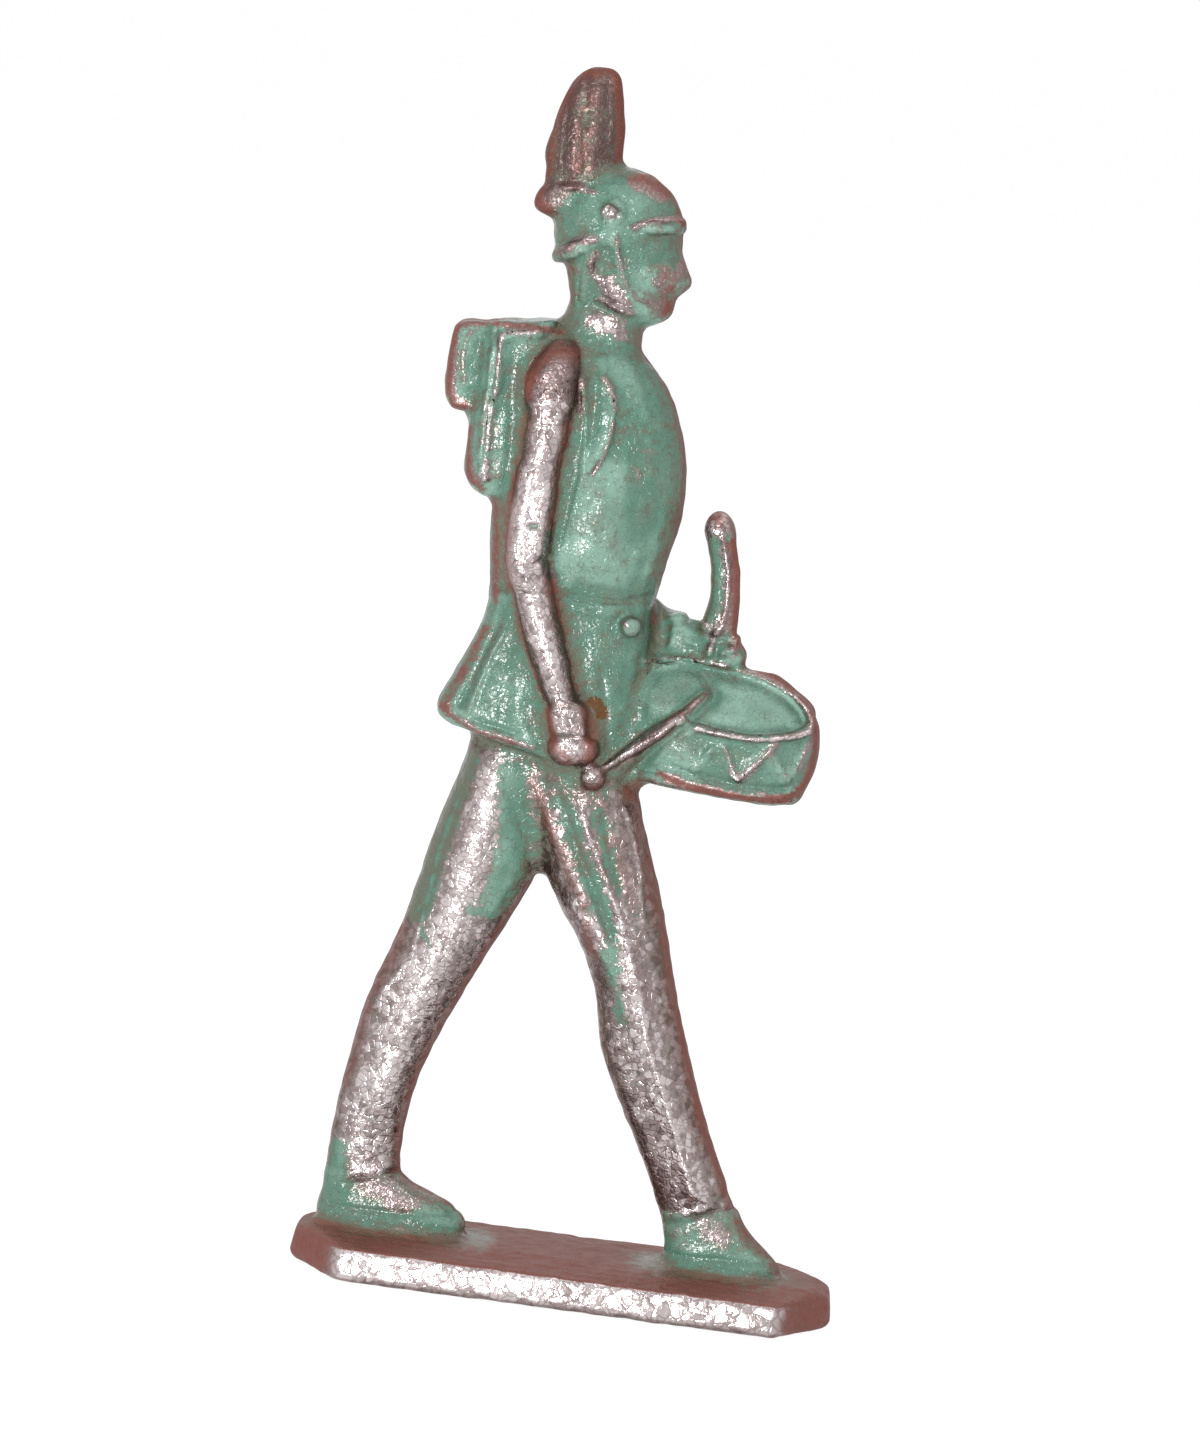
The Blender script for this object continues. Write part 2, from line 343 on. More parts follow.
# Where paint is rubbed away, or kept where the amount is negative:
# (side, half width in mm, amount, path)
RUBS = {
    "plume": {
        "socket rim": (BOTH, 0.16, 0.80, along("plume", "socket rim")),
        "paint at the rear": (BOTH, 0.20, -0.22, [(-7.46, 58.12), (-7.46, 56.13), (-7.24, 54.58)]),
        "paint in the middle": (BOTH, 0.36, -0.04, [(-6.13, 58.45), (-6.14, 56.46), (-5.92, 54.75)]),
        "paint at the front": (BOTH, 0.25, -0.08, [(-4.95, 58.60), (-4.65, 56.15)]),
    },
    "helmet": {
        "crown": (BOTH, 0.42, 1.20, [(-3.02, 54.71), (-2.31, 54.64), (-1.80, 54.30)]),
        "peak bead": (BOTH, 0.15, 0.75, along("helmet", "peak bead")),
        "neck guard bead": (BOTH, 0.20, 0.65, along("helmet", "neck guard bead")),
        "start of the peak bead": (BOTH, 0.14, 0.60, [(-2.93, 52.47), (-2.68, 52.67)]),
        "end of the neck guard bead": (BOTH, 0.14, 0.60, [(-5.24, 51.55), (-4.76, 51.64)]),
        "boss": (BOTH, 0.38, 0.42, [(-4.27, 53.07), (-3.96, 53.24)]),
    },
    "head": {
        "chin strap": (BOTH, 0.13, 0.60, along("head", "chin strap")),
        "ear": (BOTH, 0.22, 0.60, along("head", "ear")),
        "jaw": (BOTH, 0.42, 1.40, along("head", "jaw")),
        "jaw line": (BOTH, 0.14, 0.60, along("head", "jaw line")),
        "collar": (BOTH, 0.50, 0.70, [(-4.30, 47.77), (-3.57, 47.50), (-3.02, 47.15)]),
        "front of the face": (BOTH, 0.45, 0.65, [(-1.32, 50.62), (-1.05, 49.49), (-1.07, 48.57)]),
        "nose": (BOTH, 0.30, 0.60, [(-0.33, 50.91), (-0.43, 50.40)]),
        "cheek": (BOTH, 0.25, 0.35, [(-1.97, 49.37), (-1.39, 48.78)]),
    },
    "knapsack": {
        "rear edge of the roll": (BOTH, 0.28, 0.80, [
            (-11.21, 46.25), (-11.23, 44.80), (-11.10, 43.35), (-10.73, 42.56), (-10.20, 42.53),
        ]),
        "edge of the roll's end": (BOTH, 0.12, 0.40, along("knapsack", "edge of the roll's end")),
        "top edge": (BOTH, 0.15, 0.70, [
            (-11.21, 46.51), (-9.31, 46.84), (-7.20, 46.87), (-5.90, 46.78),
        ]),
        "piping of the flap": (BOTH, 0.15, 0.46, [(-8.83, 46.24), (-8.83, 45.10), (-8.77, 43.57)]),
        "rear edge of the box": (BOTH, 0.22, 0.75, [
            (-9.87, 41.40), (-9.81, 40.11), (-9.60, 39.16), (-8.95, 38.63),
        ]),
        "foot of the box": (BOTH, 0.14, 0.45, [(-9.62, 38.87), (-8.68, 39.09), (-8.11, 39.26)]),
        "back of the coat": (BOTH, 0.22, 0.60, [
            (-8.16, 37.82), (-7.90, 36.06), (-7.72, 34.12), (-7.49, 33.00),
        ]),
        "swell of the box": (BOTH, 0.50, 0.34, [(-8.79, 42.68), (-8.68, 41.40), (-8.60, 39.78)]),
        "top of the flap": (BOTH, 0.20, 0.30, [(-8.81, 46.08), (-8.53, 46.44), (-7.34, 46.65)]),
    },
    "chest": {
        "front edge of the sling, upper part": (BOTH, 0.14, 0.80, [
            (-3.52, 44.87), (-3.04, 44.36), (-2.75, 43.84), (-2.73, 43.43),
        ]),
        "front edge of the sling, lower part": (BOTH, 0.15, 0.75, along("sling", "front edge")[3:]),
        "first chip": (NEAR, 0.17, 0.46, [(-1.57, 41.56), (-0.82, 41.37)]),
        "second chip": (NEAR, 0.17, 0.44, [(-1.47, 40.93), (-1.22, 40.47), (-1.07, 39.81)]),
        "third chip": (NEAR, 0.14, 0.46, [(-0.69, 41.59), (-0.41, 41.42)]),
        "thin paint above the chips": (NEAR, 0.60, 0.16, [(-2.45, 44.04), (-0.66, 41.36)]),
        "belly on the far side": (FAR, 0.30, 0.40, [(-2.33, 43.08), (-1.45, 41.25), (-1.73, 39.60)]),
    },
    "wing": {
        "gap before the arm": (NEAR, 0.13, 0.75, [(-4.72, 44.56), (-4.45, 43.06)]),
        "edge of the wing": (BOTH, 0.16, 0.50, [(-6.58, 45.16), (-5.87, 45.67), (-5.06, 45.91)]),
        "paint on the shoulder": (BOTH, 0.30, -0.25, [(-6.27, 46.30), (-5.49, 46.46)]),
    },
    "right_arm": {
        "paint left at the elbow": (NEAR, 0.22, -0.75, [(-5.98, 37.19), (-5.81, 37.13)]),
        "paint in the elbow's crease": (NEAR, 0.16, -0.60, [(-4.67, 35.74), (-5.34, 35.52)]),
        "paint before the upper arm": (NEAR, 0.20, -0.30, [
            (-4.91, 40.87), (-4.88, 39.26), (-4.96, 37.63),
        ]),
        "paint behind the upper arm": (NEAR, 0.30, -0.35, [(-7.05, 42.55), (-7.25, 40.91)]),
        "rear of the elbow": (NEAR, 0.40, 0.55, [
            (-6.96, 39.60), (-7.12, 38.28), (-7.17, 36.98), (-7.09, 35.36), (-6.66, 34.12),
        ]),
        "front of the elbow": (NEAR, 0.30, 0.45, [(-5.25, 38.85), (-5.36, 37.54), (-5.46, 36.23)]),
        "rear of the forearm": (NEAR, 0.30, 0.45, [
            (-6.52, 33.66), (-5.89, 32.13), (-5.28, 30.71), (-4.46, 29.07),
        ]),
    },
    "left_arm": {
        "paint on the far upper arm": (FAR, 0.45, -0.90, [
            (-4.83, 41.54), (-5.03, 39.26), (-5.11, 37.30),
        ]),
        "paint on the forearm": (FAR, 0.50, -0.60, [(-0.45, 31.75), (1.45, 31.73), (2.82, 31.64)]),
    },
    "fist": {
        "paint before the cuff": (NEAR, 0.25, -0.60, [(-1.89, 28.41), (-1.62, 27.20)]),
        "paint behind the cuff": (NEAR, 0.25, -0.50, [(-4.49, 27.82), (-4.31, 26.84)]),
    },
    "knuckles": {
        "rear knuckles": (BOTH, 0.22, 0.35, [(3.67, 32.65), (3.52, 31.95)]),
        "front knuckles": (BOTH, 0.30, 0.30, [(4.60, 31.93), (4.80, 32.50)]),
    },
    "belt": {
        "button": (BOTH, 0.16, 0.40, along("belt", "button")),
    },
    "skirt": {
        "hem bead": (BOTH, 0.17, 0.75, [
            (-9.61, 27.29), (-8.62, 26.81), (-7.57, 26.38), (-6.55, 26.27), (-5.53, 26.09),
            (-4.71, 25.98),
        ]),
        "rear edge": (BOTH, 0.34, 0.50, [(-7.67, 31.68), (-8.57, 29.37), (-9.45, 27.37)]),
        "groove behind the pleat": (BOTH, 0.13, 0.22, [(-7.81, 30.01), (-8.30, 28.45), (-8.63, 27.52)]),
        "chip at the rear": (BOTH, 0.18, 0.50, [(-8.85, 29.23), (-8.71, 29.06)]),
        "rear pleat": (BOTH, 0.12, 0.25, along("skirt", "rear pleat")[2:]),
    },
    "drum": {
        "rear part of the top hoop": (BOTH, 0.12, 0.55, along("drum", "rear part of the top hoop")),
        "front part of the top hoop": (BOTH, 0.12, 0.50, along("drum", "front part of the top hoop")),
        "near part of the top hoop": (BOTH, 0.16, 0.55, along("drum", "near part of the top hoop")),
        "first cord": (BOTH, 0.13, 0.60, along("drum", "first cord")),
        "second cord": (BOTH, 0.22, 0.85, along("drum", "second cord")),
        "third cord": (BOTH, 0.14, 0.60, along("drum", "third cord")),
        "chip beside the third cord": (BOTH, 0.15, 0.40, [(8.14, 26.43), (8.14, 25.61)]),
        "front edge": (BOTH, 0.30, 0.85, [(9.23, 29.63), (9.51, 28.03), (9.45, 26.65), (9.10, 25.38)]),
        "bottom hoop": (BOTH, 0.20, 0.60, [
            (1.89, 25.45), (3.29, 25.05), (4.95, 24.80), (6.45, 24.73), (8.06, 24.87), (8.95, 25.26),
        ]),
        "top edge": (BOTH, 0.20, 0.70, [(5.62, 31.19), (7.03, 30.76), (8.18, 30.17), (8.93, 29.59)]),
    },
    "right_drumstick": {
        "shaft": (NEAR, 0.20, 0.30, along("right_drumstick", "shaft")),
    },
    "left_drumstick": {
        "tip": (BOTH, 0.50, 0.55, [(2.54, 38.97), (2.72, 38.59), (3.10, 38.15)]),
        "ridge of the shaft": (BOTH, 0.10, 0.65, along("left_drumstick", "ridge of the shaft")),
        "paint at the rear": (BOTH, 0.22, -0.85, [(3.00, 37.11), (3.36, 35.39), (3.27, 33.61)]),
        "front side": (BOTH, 0.20, 0.50, [(4.07, 37.25), (4.42, 35.53), (4.55, 33.50)]),
    },
    "rear_leg": {
        "paint at the rear of the thigh": (BOTH, 0.60, -0.80, [
            (-7.86, 24.71), (-8.44, 22.13), (-9.05, 19.26), (-9.48, 16.56),
        ]),
        "paint at the inner thigh": (BOTH, 0.80, -0.85, [
            (-5.77, 24.21), (-5.06, 21.80), (-5.16, 19.29), (-5.54, 17.84),
        ]),
        "middle of the thigh": (BOTH, 0.40, 0.35, [
            (-6.61, 24.40), (-6.98, 21.86), (-7.25, 19.04), (-7.83, 16.45),
        ]),
        "paint behind the knee": (BOTH, 0.20, -0.50, [(-9.11, 15.59), (-8.85, 15.20)]),
        "paint below the inner thigh": (BOTH, 0.25, -0.45, [(-6.83, 17.11), (-5.72, 17.05)]),
    },
    "front_leg": {
        "paint beside the inner crease": (BOTH, 0.34, -0.52, [
            (-2.81, 23.37), (-1.51, 20.50), (-0.35, 18.46), (0.47, 16.76), (0.96, 15.29),
        ]),
        "paint before the front crease": (BOTH, 0.30, -0.50, [
            (-0.94, 23.14), (-0.20, 20.86), (0.37, 19.32),
        ]),
        "paint at the knee": (BOTH, 0.34, -0.45, [(0.10, 15.94), (1.02, 14.15), (1.45, 12.68)]),
        "front crease, lower part": (BOTH, 0.14, 0.70, [
            (2.15, 14.69), *along("front_leg", "front crease")[6:],
        ]),
        "front crease, upper part": (BOTH, 0.13, 0.50, along("front_leg", "front crease")[:5]),
        "paint at the top of the thigh": (BOTH, 0.26, -0.75, [(-3.02, 25.05), (-2.37, 24.38)]),
        "film over the thigh": (NEAR, 0.85, -0.30, [(-3.04, 23.72), (-1.79, 21.22), (-0.46, 18.16)]),
    },
    "boots": {
        "rear instep": (BOTH, 0.75, 0.62, [(-10.47, 2.45), (-9.29, 1.96), (-8.58, 1.41)]),
        "top of the rear toe": (BOTH, 0.30, 0.45, [(-8.12, 2.69), (-6.27, 1.96)]),
        "paint on the rear heel": (BOTH, 0.60, -0.70, [(-12.29, 3.92), (-12.14, 2.64), (-12.14, 1.33)]),
        "front instep": (BOTH, 0.50, 0.62, [(7.00, 2.39), (7.95, 2.00)]),
        "paint along the rear welt": (BOTH, 0.40, -0.45, [(-11.67, 0.43), (-9.13, 0.68), (-5.81, 1.10)]),
        "paint along the front welt": (BOTH, 0.40, -0.45, [(5.64, 0.57), (8.19, 0.59), (10.09, 0.79)]),
    },
}

# Where the metal, or the thin paint on it, has turned brown, or is kept clean where the amount is
# negative: (side, half width in mm, amount, path)
TARNISHED = {
    "right_drumstick": {
        "shaft": (NEAR, 0.40, 0.32, along("right_drumstick", "shaft")),
    },
    "left_drumstick": {
        "tip": (BOTH, 0.50, 0.15, [(2.54, 38.97), (2.72, 38.59), (3.10, 38.15)]),
        "front side": (BOTH, 0.30, 0.60, [(4.05, 37.23), (4.41, 35.51), (4.56, 33.48), (4.81, 32.42)]),
        "front of the tip": (BOTH, 0.34, 0.40, [(2.49, 38.48), (2.88, 38.61), (3.18, 38.16)]),
    },
    "plume": {
        "middle": (BOTH, 0.80, 0.34, [(-5.85, 58.98), (-5.99, 57.14), (-5.87, 55.16)]),
        "rear edge": (BOTH, 0.28, 0.50, [(-6.95, 59.53), (-7.49, 57.44), (-7.51, 54.62)]),
        "tip and front edge": (BOTH, 0.28, 0.50, [
            (-6.48, 59.76), (-4.92, 59.92), (-4.37, 58.34), (-3.99, 55.90),
        ]),
        "socket": (BOTH, 0.40, 0.60, [(-7.92, 53.90), (-7.90, 53.07), (-7.27, 52.73)]),
    },
    "helmet": {
        "crown": (BOTH, 0.50, 0.55, [(-3.14, 54.86), (-2.34, 54.88), (-1.63, 54.56)]),
        "front of the crown": (BOTH, 0.25, 0.50, [(-1.72, 55.02), (-1.00, 53.95), (-0.54, 53.01)]),
        "peak bead": (BOTH, 0.14, 0.12, along("helmet", "peak bead")[1:]),
        "neck guard bead": (BOTH, 0.16, 0.14, [(-6.60, 50.61), (-5.88, 51.33), (-5.25, 51.61)]),
    },
    "head": {
        "front of the face": (BOTH, 0.50, 0.50, [(-1.27, 50.60), (-0.69, 49.68), (-0.72, 48.59)]),
        "ear": (BOTH, 0.22, 0.12, along("head", "ear")),
        "nape": (BOTH, 0.25, 0.35, [(-5.87, 50.16), (-5.57, 48.20)]),
    },
    "knapsack": {
        "rear edge of the roll": (BOTH, 0.30, 0.65, [
            (-11.22, 46.25), (-11.30, 44.78), (-11.19, 43.34), (-10.80, 42.54), (-10.24, 42.49),
        ]),
        "top edge": (BOTH, 0.22, 0.50, [
            (-11.22, 46.57), (-9.32, 46.88), (-7.22, 46.92), (-5.91, 46.80),
        ]),
        "rear edge of the box": (BOTH, 0.24, 0.60, [
            (-9.91, 41.39), (-9.88, 40.10), (-9.58, 39.00), (-8.86, 38.52),
        ]),
        "gap between roll and box": (BOTH, 0.16, 0.30, [
            (-9.18, 46.43), (-9.16, 45.06), (-9.21, 43.35), (-9.32, 41.63), (-9.28, 40.01),
        ]),
    },
    "coat": {
        "back of the coat": (BOTH, 0.30, 0.60, [
            (-8.26, 37.97), (-7.93, 36.06), (-7.79, 34.11), (-7.52, 33.00),
        ]),
        "front of the coat": (BOTH, 0.60, 0.40, [
            (-1.19, 46.55), (0.24, 44.15), (0.96, 41.81), (1.13, 39.72), (0.84, 37.56), (0.30, 35.37),
        ]),
    },
    "shoulder": {
        "wing": (BOTH, 0.50, 0.50, [(-7.13, 44.24), (-6.72, 45.26), (-5.91, 45.93), (-5.03, 45.96)]),
        "behind the wing": (BOTH, 0.30, 0.45, [(-7.14, 43.43), (-7.10, 44.40)]),
    },
    "right_arm": {
        "front of the upper arm": (NEAR, 0.32, 0.42, [
            (-4.91, 42.31), (-4.97, 40.20), (-5.04, 38.57), (-5.16, 37.26),
        ]),
        "rear of the upper arm": (NEAR, 0.40, 0.55, [
            (-7.23, 42.49), (-7.32, 39.57), (-7.43, 37.61), (-7.28, 35.36), (-6.88, 33.78),
        ]),
        "front of the forearm": (NEAR, 0.42, 0.50, [
            (-4.72, 34.29), (-3.92, 32.78), (-3.23, 31.25), (-2.65, 29.58),
        ]),
        "rear of the forearm": (NEAR, 0.34, 0.42, [
            (-6.67, 33.04), (-5.97, 31.39), (-5.15, 29.75), (-4.66, 28.82),
        ]),
    },
    "fist": {
        "behind the fist": (NEAR, 0.40, 0.60, [
            (-4.20, 27.98), (-3.83, 27.03), (-3.58, 26.19), (-2.80, 25.73),
        ]),
        "before the fist": (NEAR, 0.42, 0.75, [(-2.08, 28.39), (-1.77, 27.18), (-1.85, 26.04)]),
    },
    "skirt": {
        "rear edge": (BOTH, 0.32, 0.50, [(-7.80, 31.58), (-8.71, 29.32), (-9.59, 27.32)]),
        "hem bead": (BOTH, 0.22, 0.45, [
            (-9.39, 27.17), (-8.60, 26.78), (-7.55, 26.35), (-6.53, 26.22), (-5.65, 26.10),
        ]),
    },
    "drum": {
        "clean paint behind the drum": (NEAR, 0.50, -0.85, [(0.31, 33.85), (0.67, 31.18)]),
        "clean paint beside the left fist": (NEAR, 0.36, -0.70, [(1.28, 32.89), (1.50, 31.83)]),
        "front edge": (BOTH, 0.34, 1.05, [(9.31, 29.61), (9.60, 28.01), (9.55, 26.50), (9.16, 25.22)]),
        "bottom hoop": (BOTH, 0.26, 1.00, [
            (1.90, 25.38), (3.30, 25.02), (4.95, 24.83), (6.45, 24.73), (8.06, 24.88), (8.95, 25.29),
        ]),
        "top edge": (BOTH, 0.24, 0.90, [(5.60, 31.30), (7.00, 30.94), (8.16, 30.34), (9.07, 29.58)]),
    },
    "front_leg": {
        "front edge": (BOTH, 0.55, 0.60, [
            (0.72, 24.68), (1.68, 22.14), (2.90, 18.48), (3.99, 14.79), (5.21, 11.12), (6.63, 7.45),
            (8.02, 4.74),
        ]),
        "front of the thigh": (BOTH, 0.70, 0.38, [(-1.35, 24.51), (-0.38, 21.98), (1.11, 19.13)]),
        "inner crease": (BOTH, 0.36, 0.50, [
            (-4.68, 24.45), (-3.47, 22.33), (-2.23, 20.21), (-1.02, 18.08), (-0.46, 15.87),
        ]),
        "rear of the calf": (BOTH, 0.26, 0.12, [
            (-0.11, 14.24), (0.49, 11.44), (2.57, 7.29), (4.64, 2.93),
        ]),
        "top of the thigh": (BOTH, 0.40, 0.30, [(-0.14, 24.43), (0.65, 24.15)]),
    },
    "rear_leg": {
        "inner edge": (BOTH, 0.34, 0.25, [
            (-4.88, 16.75), (-6.31, 13.76), (-7.66, 10.07), (-8.80, 6.96),
        ]),
        "rear edge": (BOTH, 0.34, 0.28, [(-10.11, 15.49), (-11.35, 11.96), (-12.05, 7.37)]),
    },
    "boots": {
        "rear toe": (BOTH, 0.35, 0.60, [(-8.42, 2.84), (-5.95, 1.87)]),
        "front toe": (BOTH, 0.40, 0.55, [(8.23, 2.69), (11.03, 0.85)]),
    },
}

# Amber stains: (side, half width in mm, amount, path)
STAINS = {
    "cuff": {
        "drop beside the cuff": (NEAR, 0.34, 1.45, [(-1.95, 28.60), (-1.62, 28.45), (-1.45, 28.05)]),
    },
}

# Each node's slot in the record, and how bare of paint it is: 1 is all metal, 0 is painted, and
# below 0 the paint holds even where the casting stands proud
PIECES = {
    "base_plate": ("base_metal", 1.0),
    "rear_boot": ("worn_enamel", 0.22),
    "front_boot": ("worn_enamel", 0.22),
    "rear_leg": ("rubbed_metal", 0.66),
    "front_leg": ("rubbed_metal", 0.66),
    "coat_skirt": ("worn_enamel", -0.04),
    "waist_belt": ("worn_enamel", -0.04),
    "tunic": ("worn_enamel", -0.04),
    "collar": ("rubbed_metal", 0.20),
    "head": ("worn_enamel", 0.05),
    "hair": ("tarnished_metal", 0.22),
    "helmet_shell": ("worn_enamel", -0.02),
    "helmet_peak": ("tarnished_metal", 0.25),
    "neck_guard": ("tarnished_metal", 0.22),
    "helmet_bosses": ("rubbed_metal", 0.25),
    "chin_straps": ("rubbed_metal", 0.20),
    "plume_socket": ("tarnished_metal", 0.75),
    "plume": ("tarnished_metal", 0.78),
    "right_shoulder_wing": ("tarnished_metal", 0.82),
    "right_sleeve": ("rubbed_metal", 0.85),
    "right_cuff": ("rubbed_metal", 0.62),
    "right_hand": ("rubbed_metal", 0.75),
    "right_drumstick": ("rubbed_metal", 0.60),
    "left_shoulder_wing": ("tarnished_metal", 0.82),
    "left_sleeve": ("rubbed_metal", 0.15),
    "left_cuff": ("worn_enamel", 0.04),
    "left_hand": ("rubbed_metal", 0.16),
    "left_drumstick": ("rubbed_metal", 0.30),
    "drum_shell": ("worn_enamel", 0.00),
    "drum_head": ("worn_enamel", -0.10),
    "drum_top_hoops": ("rubbed_metal", 0.22),
    "drum_bottom_hoop": ("rubbed_metal", 0.35),
    "drum_cords": ("rubbed_metal", 0.20),
    "drum_slings": ("worn_enamel", -0.04),
    "sling_button": ("rubbed_metal", 0.15),
    "knapsack_box": ("worn_enamel", 0.00),
    "knapsack_roll": ("worn_enamel", 0.02),
    "knapsack_piping": ("rubbed_metal", 0.16),
}

# How much darker a piece has turned than its finish tells, or paler where this is below 0
DULLED = {
    "plume": 0.42,
    "drum_head": -0.26,
    "drum_shell": -0.10,
    "front_boot": -0.14,
    "front_leg": 0.11,
    "right_sleeve": 0.08,
    "right_cuff": 0.18,
    "right_hand": 0.12,
    "right_drumstick": 0.25,
    "left_drumstick": 0.30,
}


# Settings


class DrummerCasting(bpy.types.PropertyGroup):
    """How finely the mould is filled and how soft its edges are"""

    voxel: bpy.props.FloatProperty(
        name="Grid step", description="Step of the casting's grid, in mm",
        default=0.125, min=0.08, max=0.3,
    )
    softness: bpy.props.FloatProperty(
        name="Edge softness", description="How far edges are softened, in mm",
        default=0.15, min=0.08, max=0.3,
    )
    fillet: bpy.props.FloatProperty(
        name="Fillet", description="How far joins are filled, in mm",
        default=0.65, min=0.15, max=0.8,
    )
    skin: bpy.props.FloatProperty(
        name="Unevenness", description="Height of the cast skin's unevenness, in mm",
        default=0.014, min=0, max=0.05,
    )


def linear(hex_colour):
    """sRGB hex to the linear colour that a shader takes."""
    parts = [int(hex_colour[i : i + 2], 16) / 255 for i in (1, 3, 5)]
    return [c / 12.92 if c <= 0.04045 else ((c + 0.055) / 1.055) ** 2.4 for c in parts] + [1.0]


def colour_property(name, description, value):
    """A colour setting, whose default is given in hex."""
    return bpy.props.FloatVectorProperty(
        name=name, description=description, default=linear(value), size=4, subtype="COLOR", min=0, max=1
    )


class DrummerFinish(bpy.types.PropertyGroup):
    """Colours of the enamel and of the metal under it"""

    enamel: colour_property("Enamel", "Green enamel, as it was brushed on", "#547A6A")
    enamel_chalky: colour_property("Chalky enamel", "Enamel that has turned pale", "#80A293")
    enamel_deep: colour_property("Deep enamel", "Enamel that lies thick in the creases", "#3A6552")
    grime: colour_property("Grime", "Dirt that has settled in the creases", "#626050")
    scuff: colour_property("Scuffs", "Fine dark marks in the enamel", "#3F534A")
    film: colour_property("Film", "Thin enamel through which the metal shows", "#6E7D6C")
    metal: colour_property("White metal", "Bare casting metal", "#948584")
    metal_bright: colour_property("Rubbed metal", "Casting metal that hands keep bright", "#D6CCCC")
    tarnish: colour_property("Tarnish", "Reddish brown tarnish", "#5E4B48")
    stain: colour_property("Stain", "Amber stain beside the cuff", "#5E3D1A")
    edge: colour_property("Mould line", "Tarnish along the line where the mould parts", "#7C453A")


class DrummerStage(bpy.types.PropertyGroup):
    """Lights and camera"""

    key_power: bpy.props.FloatProperty(
        name="Key lamp", description="Power of the lamp beside the camera",
        default=1.15, min=0, unit="POWER",
    )
    fill_power: bpy.props.FloatProperty(
        name="Fill lamp", description="Power of the large lamp overhead",
        default=0.28, min=0, unit="POWER",
    )
    back_power: bpy.props.FloatProperty(
        name="Back lamp", description="Power of the lamp behind the figure",
        default=0.24, min=0, unit="POWER",
    )
    ambient: bpy.props.FloatProperty(
        name="Room light", description="Strength of the room's soft light", default=0.32, min=0, max=1
    )
    camera_distance: bpy.props.FloatProperty(
        name="Camera distance", description="From the lens to the figure", default=0.3, unit="LENGTH"
    )
    camera_azimuth: bpy.props.FloatProperty(
        name="Camera azimuth", description="How far the camera stands to the figure's front",
        default=math.radians(2), subtype="ANGLE",
    )
    camera_elevation: bpy.props.FloatProperty(
        name="Camera elevation", description="How far the camera looks down",
        default=math.radians(7.5), subtype="ANGLE",
    )
    camera_roll: bpy.props.FloatProperty(
        name="Camera roll", description="Lean of the picture", default=math.radians(7.2), subtype="ANGLE"
    )
    view_height: bpy.props.FloatProperty(
        name="View height", description="Height that the picture takes in", default=0.0731, unit="LENGTH"
    )


# The casting


def blurred(values, sigma):
    """Gaussian blur of a grid, with sigma in grid steps. Outside the grid there is no metal."""
    reach = max(1, math.ceil(3 * sigma))
    weights = np.exp(-0.5 * (np.arange(-reach, reach + 1) / sigma) ** 2)
    weights = (weights / weights.sum()).astype(np.float32)
    for axis in range(3):
        out = values * weights[reach]
        n = values.shape[axis]
        for shift in range(1, min(reach, n - 1) + 1):
            low = [slice(None)] * 3
            high = [slice(None)] * 3
            low[axis] = slice(0, n - shift)
            high[axis] = slice(shift, n)
            low, high = tuple(low), tuple(high)
            out[low] += weights[reach + shift] * values[high]
            out[high] += weights[reach + shift] * values[low]
        values = out
    return values


# Under a blurred straight edge the share of metal goes with depth by the error function. These
# turn it round, with depth in sigmas over the root of two.
EDGE_DEPTHS = np.linspace(-2.6, 2.6, 521)
EDGE_SHARES = np.array([math.erf(depth) for depth in EDGE_DEPTHS])


def depth_under_skin(share, sigma_mm):
    """Depth in mm under the skin, from the blurred share of metal round a point."""
    sigmas = np.interp(2 * share - 1, EDGE_SHARES, EDGE_DEPTHS) * math.sqrt(2)
    return (sigmas * sigma_mm).astype(np.float32)


def sampled(grid, points):
    """Values of a grid at points given in grid steps."""
    top = np.array(grid.shape) - 2
    base = np.clip(np.floor(points).astype(np.int32), 0, top)
    t = np.clip(points - base, 0, 1).astype(np.float32)
    i, j, k = base.T
    x, y, z = t.T
    total = 0
    for a, b, c in np.ndindex(2, 2, 2):
        weight = (x if a else 1 - x) * (y if b else 1 - y) * (z if c else 1 - z)
        total = total + weight * grid[i + a, j + b, k + c]
    return total


def slopes(grid, points):
    """Gradient of a grid at points, per grid step."""
    out = np.empty((len(points), 3), np.float32)
    for axis in range(3):
        step = np.zeros(3)
        step[axis] = 0.5
        out[:, axis] = sampled(grid, points + step) - sampled(grid, points - step)
    return out


def distance_to_path(x, z, path):
    """Distance in mm from points of the XZ plane to a path."""
    best = np.full(np.broadcast(x, z).shape, np.inf, np.float32)
    for (ax, az), (bx, bz) in zip(path, path[1:]):
        dx, dz = bx - ax, bz - az
        t = np.clip(((x - ax) * dx + (z - az) * dz) / (dx * dx + dz * dz), 0, 1)
        best = np.minimum(best, np.hypot(x - ax - t * dx, z - az - t * dz))
    return best


def triangles_of(mesh):
    """Points of a mesh in mm, and its triangles."""
    mesh.calc_loop_triangles()
    points = np.empty(len(mesh.vertices) * 3, np.float32)
    mesh.vertices.foreach_get("co", points)
    faces = np.empty(len(mesh.loop_triangles) * 3, np.int32)
    mesh.loop_triangles.foreach_get("vertices", faces)
    return points.reshape(-1, 3).astype(float) / MM, faces.reshape(-1, 3)


def window(first, shape):
    """Part of the grid that starts at a voxel and has a shape."""
    return tuple(slice(a, a + n) for a, n in zip(first, shape))


